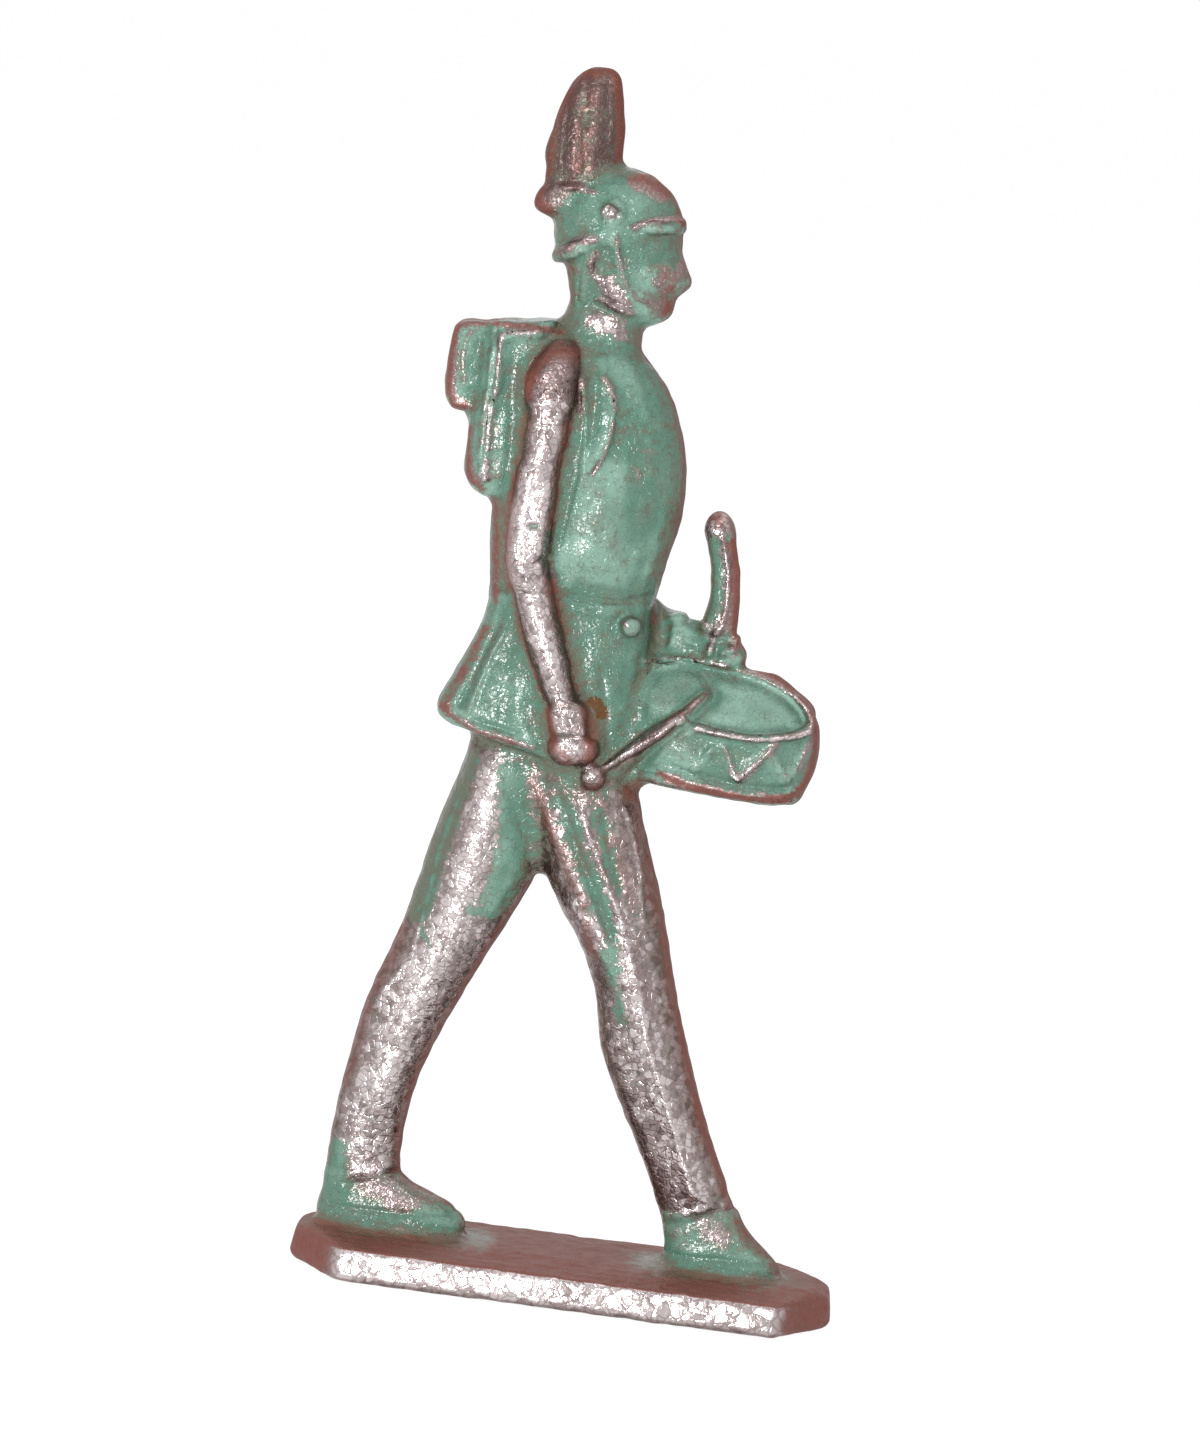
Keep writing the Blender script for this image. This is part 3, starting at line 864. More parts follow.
class Casting:
    """The figure as one casting on a grid. Axes are x, y and z, and lengths are in mm."""

    LEAVE = 4  # steps left empty round the figure
    QUICK_STEP = 0.18
    LEAST_SOFTNESS = 0.85  # in grid steps: sharper edges would show the grid
    OFF_ROUND = np.array([0.00371, 0.0, 0.00293])  # keeps rays off the edges of triangles
    SEAM_BLUR = 1.3  # blur that parts one form from the next, in edge softnesses
    FILLET_START = 0.05  # joins that are shallower get no fillet
    WEAR_RUN = 0.3  # how far wear runs on from a form to its neighbour
    LINE_REACH = 2.6  # half widths after which a line has faded out
    PARTING_FADE = 0.5  # how near the parting line the lines start to fade
    SKIN_SEED = 54
    GRAIN_SIZE = 0.22
    DENT_SIZE = 0.55
    DENT_SHARE = 0.8  # height of the dents over that of the grain
    BROAD_SIZE = 0.8  # forms of this size stand proud as a whole
    TIE = 1e-5  # a point that two nodes share alike is inside both
    SKIN_BAND = 0.3  # in grid steps: points this near the skin are on it, and not on a seam

    def __init__(self, settings):
        self.step = settings.voxel
        self.softness = max(settings.softness, self.step * self.LEAST_SOFTNESS)
        self.fillet = settings.fillet
        low, high = (np.array(corner) / MM for corner in CAD_BOX)
        self.box = low, high
        self.low = low - self.LEAVE * self.step
        self.shape = tuple(np.ceil((high - low) / self.step).astype(int) + 2 * self.LEAVE)
        self.melt()
        self.carve(settings.skin)
        self.measure()

    def coverage(self, node):
        """How much of each voxel a node fills, with the lowest voxel. Rays run along Y, four to a
        voxel, and the metal starts or ends at each face that a ray meets."""
        points, faces = triangles_of(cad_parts[node].data)
        pad = math.ceil(3 * self.softness / self.step) + 2
        first = np.floor((points.min(0) - self.low) / self.step).astype(int) - pad
        last = np.ceil((points.max(0) - self.low) / self.step).astype(int) + pad
        first, last = np.maximum(first, 0), np.minimum(last, self.shape)
        nx, ny, nz = last - first
        local = (points - self.low + self.OFF_ROUND) / self.step - first
        local[:, [0, 2]] *= 2
        where, what = [], []
        corners = local[faces]
        lows = np.ceil(corners.min(1) - 0.5).astype(int)
        highs = np.floor(corners.max(1) - 0.5).astype(int)
        for corner, lo, hi in zip(corners, lows, highs):
            if hi[0] < lo[0] or hi[2] < lo[2]:
                continue
            (x0, y0, z0), (x1, y1, z1), (x2, y2, z2) = corner
            area = (x1 - x0) * (z2 - z0) - (x2 - x0) * (z1 - z0)
            if abs(area) < 1e-12:
                continue
            x = np.arange(lo[0], hi[0] + 1)[:, None] + 0.5
            z = np.arange(lo[2], hi[2] + 1)[None, :] + 0.5
            b = ((x - x0) * (z2 - z0) - (x2 - x0) * (z - z0)) / area
            c = ((x1 - x0) * (z - z0) - (x - x0) * (z1 - z0)) / area
            i, k = np.nonzero((b >= 0) & (c >= 0) & (b + c <= 1))
            if not len(i):
                continue
            y = y0 + b[i, k] * (y1 - y0) + c[i, k] * (y2 - y0)
            j = np.floor(y).astype(int)
            flat = ((i + lo[0]) * 2 * nz + (k + lo[2])) * (ny + 2) + j
            # The metal starts where the face looks towards -Y
            sign = 1.0 if area > 0 else -1.0
            where += [flat, flat + 1]
            what += [sign * (j + 1 - y), sign * (y - j)]
        total = 2 * nx * 2 * nz * (ny + 2)
        steps = np.bincount(np.concatenate(where), np.concatenate(what), minlength=total)
        steps = steps.reshape(nx, 2, nz, 2, ny + 2).mean((1, 3))
        filled = np.cumsum(steps, axis=2)[:, :, :ny]
        return np.clip(filled, 0, 1).transpose(0, 2, 1).astype(np.float32), first

    def melt(self):
        """Fills the mould with every node, and finds whose metal each voxel is."""
        whole = np.zeros(self.shape, np.float32)
        worn = np.zeros(self.shape, np.float32)
        self.best = np.zeros(self.shape, np.float32)
        self.second = np.zeros(self.shape, np.float32)
        self.owner = np.full(self.shape, -1, np.int8)
        self.places = {}
        for index, (node, (_, bare)) in enumerate(PIECES.items()):
            filled, first = self.coverage(node)
            part = window(first, filled.shape)
            whole[part] += filled
            worn[part] += filled * bare
            share = blurred(filled, self.softness * self.SEAM_BLUR / self.step)
            best, second = self.best[part], self.second[part]
            ahead = share > best
            self.second[part] = np.where(ahead, best, np.maximum(second, share))
            self.owner[part] = np.where(ahead, index, self.owner[part])
            self.best[part] = np.maximum(best, share)
            self.places[node] = (index, first, share)
        self.whole = np.clip(whole, 0, 1)
        fine = depth_under_skin(blurred(self.whole, self.softness / self.step), self.softness)
        self.wide = depth_under_skin(blurred(self.whole, self.fillet / self.step), self.fillet)
        # Joins are filled where the wide blur finds more metal than the fine one
        more = np.clip(self.wide - self.FILLET_START - fine, 0, None)
        self.depth = fine + more**2 / (more + self.FILLET_START)
        reach = self.WEAR_RUN / self.step
        self.worn = blurred(worn, reach) / np.maximum(blurred(self.whole, reach), 1e-3)

    def plan(self, table):
        """Near and far maps over the XZ plane of what a table of lines adds up to."""
        x = (self.low[0] + self.step * (np.arange(self.shape[0]) + 0.5))[:, None]
        z = (self.low[2] + self.step * (np.arange(self.shape[2]) + 0.5))[None, :]
        maps = {side: np.zeros((self.shape[0], self.shape[2]), np.float32) for side in (NEAR, FAR)}
        for lines in table.values():
            for side, half_width, amount, path in lines.values():
                path = [(px, pz + SOLE) for px, pz in path]
                reach = self.LINE_REACH * half_width
                xs, zs = (np.array(axis) for axis in zip(*path))
                i = np.nonzero((x[:, 0] > xs.min() - reach) & (x[:, 0] < xs.max() + reach))[0]
                k = np.nonzero((z[0] > zs.min() - reach) & (z[0] < zs.max() + reach))[0]
                part = (slice(i[0], i[-1] + 1), slice(k[0], k[-1] + 1))
                away = distance_to_path(x[part[0]], z[:, part[1]], path)
                bump = amount * np.exp(-((away / half_width) ** 2))
                for name in maps:
                    if side in (name, BOTH):
                        maps[name][part] += bump
        return maps

    def carve(self, skin):
        """Raises and cuts the relief's lines, and roughens the cast skin."""
        rise = self.plan(LINES)
        middle = -self.low[1] / self.step
        ys = (np.arange(self.shape[1]) + 0.5 - middle) * self.step
        # Lines fade out at the parting line, where the two mould halves meet
        fade = np.clip(np.abs(ys) / self.PARTING_FADE, 0, 1).astype(np.float32)
        for j, (y, f) in enumerate(zip(ys, fade)):
            self.depth[:, j, :] += f * rise[NEAR if y < 0 else FAR]
        rng = np.random.default_rng(self.SKIN_SEED)
        grain, dents = (
            blurred(rng.standard_normal(self.shape).astype(np.float32), size / self.step)
            for size in (self.GRAIN_SIZE, self.DENT_SIZE)
        )
        self.depth += skin * (grain / grain.std() + self.DENT_SHARE * dents / dents.std())

    def measure(self):
        """Fields that the finish needs: how far a broad form stands proud, and the maps of wear."""
        # A broad blur needs only half the grid's fineness
        nx, ny, nz = (n // 2 for n in self.shape)
        even = self.whole[: 2 * nx, : 2 * ny, : 2 * nz]
        half = even.reshape(nx, 2, ny, 2, nz, 2).mean((1, 3, 5))
        self.broad = depth_under_skin(blurred(half, self.BROAD_SIZE / (2 * self.step)), self.BROAD_SIZE)
        self.bare = self.plan(RUBS)
        self.browned = self.plan(TARNISHED)
        self.stains = self.plan(STAINS)

    def territory(self, node):
        """How far inside its own ground a node is, over its part of the grid."""
        index, first, share = self.places[node]
        part = window(first, share.shape)
        rival = np.where(self.owner[part] == index, self.second[part], self.best[part])
        # The blurred share changes by one over about this many mm
        return (share - rival) * self.softness * self.SEAM_BLUR * math.sqrt(math.pi / 2), first

    def net(self, node):
        """Closed mesh of a node: its points in mm, its faces, and its normals."""
        ground, first = self.territory(node)
        depth = self.depth[window(first, ground.shape)]
        field = np.minimum(depth, ground + self.TIE)
        # The grid's border is outside, so that the mesh closes
        for axis in range(3):
            for end in (0, -1):
                border = [slice(None)] * 3
                border[axis] = end
                field[tuple(border)] = -self.step
        cells, middles, ids = cells_crossed(field)
        points = settled(middles, cells, depth, ground)
        points, faces = without_specks(points, quads(field, ids))
        on_skin = np.abs(sampled(depth, points)) < self.SKIN_BAND * self.step
        inner = -slopes(np.minimum(depth, ground), points)
        normals = np.where(on_skin[:, None], -slopes(depth, points), inner)
        normals /= np.maximum(np.linalg.norm(normals, axis=1, keepdims=True), 1e-9)
        world = self.low + (points + first + 0.5) * self.step
        return np.clip(world, *self.box), faces, normals


CORNERS = [np.array(corner) for corner in np.ndindex(2, 2, 2)]


def cells_crossed(field):
    """Cells of a field that its skin passes through: the cells, the middle of the skin in each, in
    grid steps, and each cell's number over the grid."""
    shape = tuple(n - 1 for n in field.shape)
    count = sum((field[window(c, shape)] > 0).astype(np.int8) for c in CORNERS)
    cells = np.argwhere((count > 0) & (count < 8))
    ids = np.full(shape, -1, np.int32)
    ids[tuple(cells.T)] = np.arange(len(cells))
    at_corner = {tuple(c): field[tuple((cells + c).T)] for c in CORNERS}
    total = np.zeros((len(cells), 3))
    hits = np.zeros(len(cells))
    for a in at_corner:
        for axis in range(3):
            if a[axis]:
                continue
            b = tuple(1 if k == axis else a[k] for k in range(3))
            va, vb = at_corner[a], at_corner[b]
            hit = (va > 0) != (vb > 0)
            t = np.where(hit, va / np.where(hit, va - vb, 1), 0)
            point = np.array(a) + t[:, None] * (np.array(b) - np.array(a))
            total += point * hit[:, None]
            hits += hit
    return cells, cells + total / hits[:, None], ids


SETTLE_ROUNDS = 3
SETTLE_STRIDE = 0.5  # how far a point may move in a round, in grid steps
SETTLE_REACH = 0.6  # how far it may move in all


def settled(points, cells, depth, ground):
    """Moves points onto the skin, and points of a seam onto both the skin and the seam, so that
    two neighbours end at the same points."""
    start = points.copy()
    crossing = []
    for values in (ground, depth):
        signs = sum((values[tuple((cells + c).T)] > 0).astype(np.int8) for c in CORNERS)
        crossing.append((values, (signs > 0) & (signs < 8)))
    for _ in range(SETTLE_ROUNDS):
        for values, use in crossing:
            p = points[use]
            g = slopes(values, p)
            v = sampled(values, p)
            move = -(v / np.maximum((g * g).sum(1), 1e-7))[:, None] * g
            points[use] = p + np.clip(move, -SETTLE_STRIDE, SETTLE_STRIDE)
    return np.clip(points, start - SETTLE_REACH, start + SETTLE_REACH)


def quads(field, ids):
    """Faces of the net, one for each step of the grid that goes from metal to air."""
    inside = field > 0
    faces = []
    for axis in range(3):
        others = [k for k in range(3) if k != axis]
        low = [slice(1, -1)] * 3
        high = [slice(1, -1)] * 3
        low[axis] = slice(0, -1)
        high[axis] = slice(1, None)
        a, b = inside[tuple(low)], inside[tuple(high)]
        for leaving in (True, False):
            spot = np.argwhere(a & ~b if leaving else b & ~a)
            for k in others:
                spot[:, k] += 1
            ring = []
            for da, db in ((0, 0), (1, 0), (1, 1), (0, 1)):
                cell = spot.copy()
                cell[:, others[0]] -= da
                cell[:, others[1]] -= db
                ring.append(ids[tuple(cell.T)])
            quad = np.stack(ring, 1)
            flip = leaving == (axis == 1)
            faces.append(quad[:, ::-1] if flip else quad)
    return np.concatenate(faces)


SPECK = 24  # a shell of fewer points is a speck


def without_specks(points, faces):
    """The shells of a mesh, without its specks."""
    label = np.arange(len(points))
    edges = np.concatenate([faces[:, [i, (i + 1) % 4]] for i in range(4)])
    while True:
        low = np.minimum(label[edges[:, 0]], label[edges[:, 1]])
        new = label.copy()
        np.minimum.at(new, edges[:, 0], low)
        np.minimum.at(new, edges[:, 1], low)
        new = new[new]
        if np.array_equal(new, label):
            break
        label = new
    sizes = np.bincount(label, minlength=len(points))
    keep = sizes[label] >= SPECK
    renumber = np.cumsum(keep) - 1
    return points[keep], renumber[faces[keep[faces[:, 0]]]]


# Wear

LINE_WIDTH = 0.8  # how far from the parting plane the metal is tarnished, in mm
LINE_SHARE = 0.34  # on a thin form, the share of its half depth that is tarnished
LINE_CORE = 0.15  # share of that width which is fully tarnished
LINE_BEHIND = 0.45  # tarnish of the line where it doesn't lead, over that where it does
SIDEWAYS = (0.35, 0.85)  # Y of the normals between which a face stops facing sideways
LEADING = (0.25, 0.9)  # X of the normals between which a face starts to lead
THUMBED = 0.50  # tarnish of the leading edges, beside the line
THUMB_DEPTHS = (0.6, 1.5)  # how far from the parting plane it starts to fade, and ends, in mm
FLANKS = (0.60, 0.985)  # Y of the normals between which a flank turns into a face
PROUD_RUBS = 0.6  # paint lost for each mm that a place stands proud
PROUD_RANGE = (-0.12, 0.2)
BROAD_RUBS = 0.15  # paint lost for each mm that the whole form stands proud
BROAD_RANGE = (-0.3, 0.5)
LINE_RUBS = 0.05  # paint lost on the mould line
DULL_FLANK = {"worn_enamel": 0.22, "rubbed_metal": 0.55, "tarnished_metal": 0.55, "base_metal": 0.55}
FLANK_TARNISH = 0.20
BROWNING = 0.8  # strength of the places that have turned brown
BROAD_BRIGHT = 0.4  # how much the form as a whole counts for its brightness
BRIGHTEST = 0.30  # past this height, in mm, all metal is equally bright

# The enamel that has run over the base, in mm: middle and half length of each boot along X, how far
# it runs beyond the boot along X and Y, and the heights between which it fades in
RUN_BOOTS = [(-9.2, 4.6), (8.2, 3.9)]
RUN_ALONG, RUN_ACROSS = 1.3, 3.2
RUN_HEIGHTS = (1.2, 1.9)
RUN_COVER = 0.85
RUN_CLEAN = 0.5  # how much of the tarnish it hides

# Tarnish of the base's top, whose normals face up, and of its ends, from the middle, in mm
TOP_BROWN, FACING_UP = 0.92, (0.5, 0.9)
END_BROWN, BASE_ENDS = 0.9, (10.6, 12.6)
FOOT_DULL, BASE_FOOT = 0.35, (0.15, 0.8)  # the foot is duller, between these heights in mm


def smoothstep(low, high, values):
    """Smooth rise from 0 to 1 between two values."""
    t = np.clip((values - low) / (high - low), 0, 1)
    return t * t * (3 - 2 * t)


def mould_line(depth, normals):
    """How tarnished each point is for its place near the line where the mould halves meet."""
    reach = min(LINE_WIDTH, LINE_SHARE * depth.max())
    sideways = 1 - smoothstep(*SIDEWAYS, np.abs(normals[:, 1]))
    line = (1 - smoothstep(LINE_CORE * reach, reach, depth)) * sideways
    # Thumbs have browned the leading edges more
    leading = smoothstep(*LEADING, normals[:, 0])
    thumbed = THUMBED * leading * (1 - smoothstep(*THUMB_DEPTHS, depth))
    return np.maximum(line * (LINE_BEHIND + (1 - LINE_BEHIND) * leading), thumbed)


def wear_of_base(points, normals, bare, crest):
    """Wear of the base: its top and ends are tarnished, and it is green round the boots."""
    x, y, height = points.T
    top = TOP_BROWN * smoothstep(*FACING_UP, normals[:, 2])
    brown = top + END_BROWN * smoothstep(*BASE_ENDS, np.abs(x))
    crest = crest - FOOT_DULL * (1 - smoothstep(*BASE_FOOT, height))
    for middle, half in RUN_BOOTS:
        away = np.hypot(np.maximum(np.abs(x - middle) - half, 0) / RUN_ALONG, y / RUN_ACROSS)
        green = np.exp(-(away**2)) * smoothstep(*RUN_HEIGHTS, height)
        bare = bare - RUN_COVER * green
        brown = brown * (1 - RUN_CLEAN * green)
    return bare, crest, brown


def wear(casting, node, points, normals):
    """What the finish needs to know of each point: how bare it is of paint, how far it stands proud,
    how browned it is, as along the mould line, and how stained."""
    spot = (points - casting.low) / casting.step - 0.5
    crest = -sampled(casting.wide, spot)
    broad = -sampled(casting.broad, (spot - 0.5) / 2)
    last = np.array(casting.shape)[[0, 2]] - 1
    i, k = np.clip(np.round(spot[:, [0, 2]]).astype(int), 0, last).T
    near = points[:, 1] < 0
    rubbed, browned, stain = (
        np.where(near, maps[NEAR][i, k], maps[FAR][i, k])
        for maps in (casting.bare, casting.browned, casting.stains)
    )
    brown = mould_line(np.abs(points[:, 1]), normals)
    bare = sampled(casting.worn, spot) + rubbed + LINE_RUBS * brown
    bare += PROUD_RUBS * np.clip(crest, *PROUD_RANGE) + BROAD_RUBS * np.clip(broad, *BROAD_RANGE)
    # The flanks are never rubbed: they stay dull, and dirt lies on them
    flank = 1 - smoothstep(*FLANKS, np.abs(normals[:, 1]))
    brown = np.maximum(brown, FLANK_TARNISH * flank) + BROWNING * browned
    slot, _ = PIECES[node]
    dulled = DULLED.get(node, 0)
    crest -= dulled + DULL_FLANK[slot] * flank
    if node == "base_plate":
        bare, crest, brown = wear_of_base(points, normals, bare, crest)
    crest = np.minimum(crest + BROAD_BRIGHT * broad, BRIGHTEST - max(dulled, 0))
    return {"bare": bare, "crest": crest, "mould_line": np.clip(brown, 0, 1), "stain": stain}


# Pieces

_castings = {}


def the_casting():
    """The one casting that every operator takes its pieces from, made anew when a setting changes."""
    settings = bpy.context.scene.drummer_casting
    key = (settings.voxel, settings.softness, settings.fillet, settings.skin)
    if key not in _castings:
        _castings.clear()
        _castings[key] = Casting(settings)
    return _castings[key]


def cast_piece(node):
    """Builds a node's piece out of the casting."""
    casting = the_casting()
    points, faces, normals = casting.net(node)
    if not len(faces):
        raise RuntimeError(f"{node} has no metal in the casting")
    name = f"cast_{node}"
    mesh = bpy.data.meshes.new(name)
    mesh.vertices.add(len(points))
    mesh.vertices.foreach_set("co", (points * MM).astype(np.float32).ravel())
    mesh.loops.add(faces.size)
    mesh.loops.foreach_set("vertex_index", faces.astype(np.int32).ravel())
    mesh.polygons.add(len(faces))
    mesh.polygons.foreach_set("loop_start", np.arange(0, faces.size, 4, dtype=np.int32))
    mesh.update(calc_edges=True)
    if mesh.validate():
        raise RuntimeError(f"{node}: the mesh had faults")
    for attribute, values in wear(casting, node, points, normals).items():
        data = mesh.attributes.new(attribute, "FLOAT", "POINT").data
        data.foreach_set("value", values.astype(np.float32))
    mesh.shade_smooth()
    mesh.normals_split_custom_set_from_vertices(normals.astype(np.float32))
    piece = bpy.data.objects.new(name, mesh)
    bpy.context.scene.collection.objects.link(piece)
    slot, _ = PIECES[node]
    mesh.materials.append(finish_of(slot))
    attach(piece, "root")
    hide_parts(node)
    return piece


# Finishes


def add(tree, kind, inputs, output=0, **settings):
    """Adds a shader node with its settings and links, and gives the output that is asked for.

    An input, by its name or number, takes a socket to link or a plain value.
    """
    node = tree.nodes.new("ShaderNode" + kind)
    for name, value in settings.items():
        setattr(node, name, value)
    for key, value in inputs.items():
        if isinstance(value, bpy.types.NodeSocket):
            tree.links.new(value, node.inputs[key])
        else:
            node.inputs[key].default_value = value
    return node.outputs[output] if node.outputs else node


def per_mm(size):
    """Scale of a texture on object coordinates in metres, for features of this size in mm."""
    return 1 / (size * MM)


# Marks on the surface that vary by chance: (size in mm, detail, roughness). The specks and the
# crackle of the real casting are finer still, and are drawn as fine as the picture can show them.
NOISES = {
    "speck": (0.16, 1.0, 0.55),
    "crackle": (0.36, 2.0, 0.60),
    "blotch": (1.1, 3.0, 0.60),
    "cloud": (3.2, 2.0, 0.55),
}

# What each finish is called, how tarnished and how bright its metal is, how much film is left on
# it, how dull it is, how much more it is polished, and how large its grains are in mm
FINISHES = {
    # Brushed enamel, thick and glossy, gone chalky in places and scuffed over the rough metal
    "worn_enamel": {
        "name": "worn_green_enamel", "tarnish": 0.50, "bright": 0.30, "film": 0.55,
        "dull": 0.0, "polish": 0.0, "grain": 0.26,
    },
    # Cast white metal, lead and tin: grainy from the mould, and bright where hands have rubbed it
    "rubbed_metal": {
        "name": "rubbed_white_metal", "tarnish": 0.34, "bright": 0.80, "film": 0.20,
        "dull": 0.0, "polish": 0.0, "grain": 0.36,
    },
    # The same metal where it has tarnished to a reddish brown and lost its shine
    "tarnished_metal": {
        "name": "tarnished_white_metal", "tarnish": 0.80, "bright": 0.05, "film": 0.45,
        "dull": 0.16, "polish": -0.35, "grain": 0.26,
    },
    # The plate under the figure, never painted on purpose: coarser grains, and a bright front edge
    "base_metal": {
        "name": "coarse_white_metal", "tarnish": 0.50, "bright": 0.75, "film": 0.75,
        "dull": 0.0, "polish": 0.05, "grain": 0.55,
    },
}

PAINT_GOES = (1.38, 1.64)  # raggedness at which paint starts to go, and at which it is gone
SHINE_GOES = (0.45, 1.1)  # browning at which shine starts to go, and at which it is gone
FILM_STAYS = (1.5, 2.0)  # raggedness between which the film of paint wears off the metal
METAL_SHINE, BROWN_SHINE = 0.95, 0.25
SMOOTH_GLAZE, WORN_GLAZE = 0.13, 0.26  # roughness of the enamel
DARK_GRAIN, PALE_GRAIN = 0.32, 0.19  # roughness of the metal's grains
BROWN_ROUGH = 0.6
ENAMEL_GRAIN = 0.80  # height of the grain under the enamel, over that of bare metal
ENAMEL_LEAN, METAL_LEAN = 0.08, 0.24  # how far the grains lean
LINES_BETWEEN = (0.13, 0.01)  # how near the border of a grain its line starts, and is full
MID_COLOUR = (0.5, 0.5, 0.5)  # the colours of noise vary round this
GRAIN_BEND = 1.2  # how far noise bends the borders of grains, in grain sizes
BUMP_HEIGHT = 0.04  # height of the finest grain, which is only shaded, in mm


def weighed(tree, *terms):
    """Sum of marks, each times its weight."""
    total = 0.0
    for mark, weight in terms:
        total = add(tree, "Math", {0: mark, 1: weight, 2: total}, operation="MULTIPLY_ADD")
    return total


def layered(tree, colour, layers):
    """Lays thin layers over a colour. Each is (mark, where it starts, where it is full, cover, colour)."""
    for mark, start, full, cover, layer in layers:
        share = add(
            tree, "MapRange",
            {"Value": mark, "From Min": start, "From Max": full, "To Max": cover},
            interpolation_type="SMOOTHSTEP",
        )
        colour = add(tree, "Mix", {0: share, 6: colour, 7: layer}, 2, data_type="RGBA")
    return colour


def grains_of(tree, where, size):
    """Grains of the metal, each with a shade and a lean of its own: (shade, lines between, lean)."""
    drift = add(tree, "TexNoise", {"Vector": where, "Scale": per_mm(2 * size), "Detail": 1.0}, "Color")
    drift = add(tree, "VectorMath", {0: drift, 1: MID_COLOUR}, operation="SUBTRACT")
    drift = add(tree, "VectorMath", {0: drift, "Scale": GRAIN_BEND * size * MM}, operation="SCALE")
    bent = add(tree, "VectorMath", {0: where, 1: drift}, operation="ADD")
    cell = {"Vector": bent, "Scale": per_mm(size)}
    colour = add(tree, "TexVoronoi", cell, "Color")
    border = add(tree, "TexVoronoi", cell, "Distance", feature="DISTANCE_TO_EDGE")
    shade = add(tree, "SeparateColor", {0: colour})
    line = add(
        tree, "MapRange",
        {"Value": border, "From Min": LINES_BETWEEN[0], "From Max": LINES_BETWEEN[1]},
        interpolation_type="SMOOTHSTEP",
    )
    lean = add(tree, "VectorMath", {0: colour, 1: MID_COLOUR}, operation="SUBTRACT")
    return shade, line, lean


def marks_of(tree, grain):
    """Marks that a finish goes by: what the casting says of each point, and what varies by chance."""
    where = add(tree, "TexCoord", {}, "Object")
    marks = SimpleNamespace()
    for name in ("bare", "crest", "mould_line", "stain"):
        setattr(marks, name, add(tree, "Attribute", {}, "Fac", attribute_name=name))
    for name, (size, detail, roughness) in NOISES.items():
        noise = {"Vector": where, "Scale": per_mm(size), "Detail": detail, "Roughness": roughness}
        setattr(marks, name, add(tree, "TexNoise", noise, "Fac"))
    marks.shade, marks.line, marks.lean = grains_of(tree, where, grain)
    # Paint goes first where the casting stands proud, in ragged flakes
    marks.ragged = weighed(
        tree, (marks.bare, 1.0), (marks.crackle, 1.0), (marks.blotch, 0.8), (marks.speck, 0.3)
    )
    marks.gone = add(
        tree, "MapRange",
        {"Value": marks.ragged, "From Min": PAINT_GOES[0], "From Max": PAINT_GOES[1]},
        interpolation_type="SMOOTHSTEP",
    )
    marks.browned = weighed(tree, (marks.mould_line, 1.0), (marks.crackle, 0.5))
    # Tarnish and a film of paint take the metal's shine away
    marks.dull = add(
        tree, "MapRange",
        {"Value": marks.browned, "From Min": SHINE_GOES[0], "From Max": SHINE_GOES[1]},
        interpolation_type="SMOOTHSTEP",
    )
    return marks


def enamel_colour(tree, marks, colours):
    """Enamel: chalky where it is thin, deeper in the creases, with dirt in the creases and scuffs."""
    crest, crackle, blotch, cloud = marks.crest, marks.crackle, marks.blotch, marks.cloud
    return layered(tree, colours.enamel, [
        (weighed(tree, (crest, 1.6), (cloud, 1.0)), 0.46, 1.05, 1.0, colours.enamel_chalky),
        (weighed(tree, (blotch, 1.0), (cloud, -0.8)), 0.05, 0.40, 0.50, colours.film),
        (weighed(tree, (crest, -0.7), (blotch, 1.0)), 0.50, 1.10, 0.75, colours.enamel_deep),
        (weighed(tree, (marks.line, 1.0), (crackle, 1.6)), 1.66, 1.92, 0.50, colours.scuff),
        (weighed(tree, (crest, -1.3), (blotch, 0.6), (crackle, 1.0)), 0.78, 1.25, 0.80, colours.grime),
        (marks.ragged, 1.10, 1.68, 0.55, colours.grime),
        (marks.browned, 0.40, 1.20, 0.75, colours.edge),
        (weighed(tree, (marks.stain, 1.0), (crackle, 0.8)), 0.9, 1.2, 1.0, colours.stain),
    ])


def metal_colour(tree, marks, colours, look):
    """Metal: tarnished between the grains and on the flanks, bright where it is rubbed."""
    rubbed = weighed(
        tree, (marks.crest, 1.3), (marks.shade, 0.5), (marks.crackle, 1.3), (marks.bare, 0.25),
        (look["polish"], 1.0),
    )
    clouded = 0.85 - look["tarnish"]
    return layered(tree, colours.tarnish, [
        (rubbed, 0.38, 1.00, 1.0, colours.metal),
        (rubbed, 1.05, 1.50, look["bright"], colours.metal_bright),
        (marks.line, 0.0, 1.0, 0.38, colours.tarnish),
        (marks.cloud, clouded, clouded + 0.4, 0.45, colours.tarnish),
        (marks.ragged, 2.0, 1.5, look["film"], colours.film),
        (marks.browned, 0.35, 1.00, 0.9, colours.edge),
    ])


def shine_of(tree, marks, film):
    """How metallic the surface is: only bare metal is, and less so under tarnish or film."""
    clean = add(
        tree, "MapRange", {"Value": marks.dull, "To Min": METAL_SHINE, "To Max": BROWN_SHINE}
    )
    filmed = add(
        tree, "MapRange",
        {
            "Value": marks.ragged, "From Min": FILM_STAYS[0], "From Max": FILM_STAYS[1],
            "To Min": 1 - film, "To Max": 1.0,
        },
    )
    shiny = add(tree, "Math", {0: clean, 1: filmed}, operation="MULTIPLY")
    return add(tree, "Math", {0: shiny, 1: marks.gone}, operation="MULTIPLY")


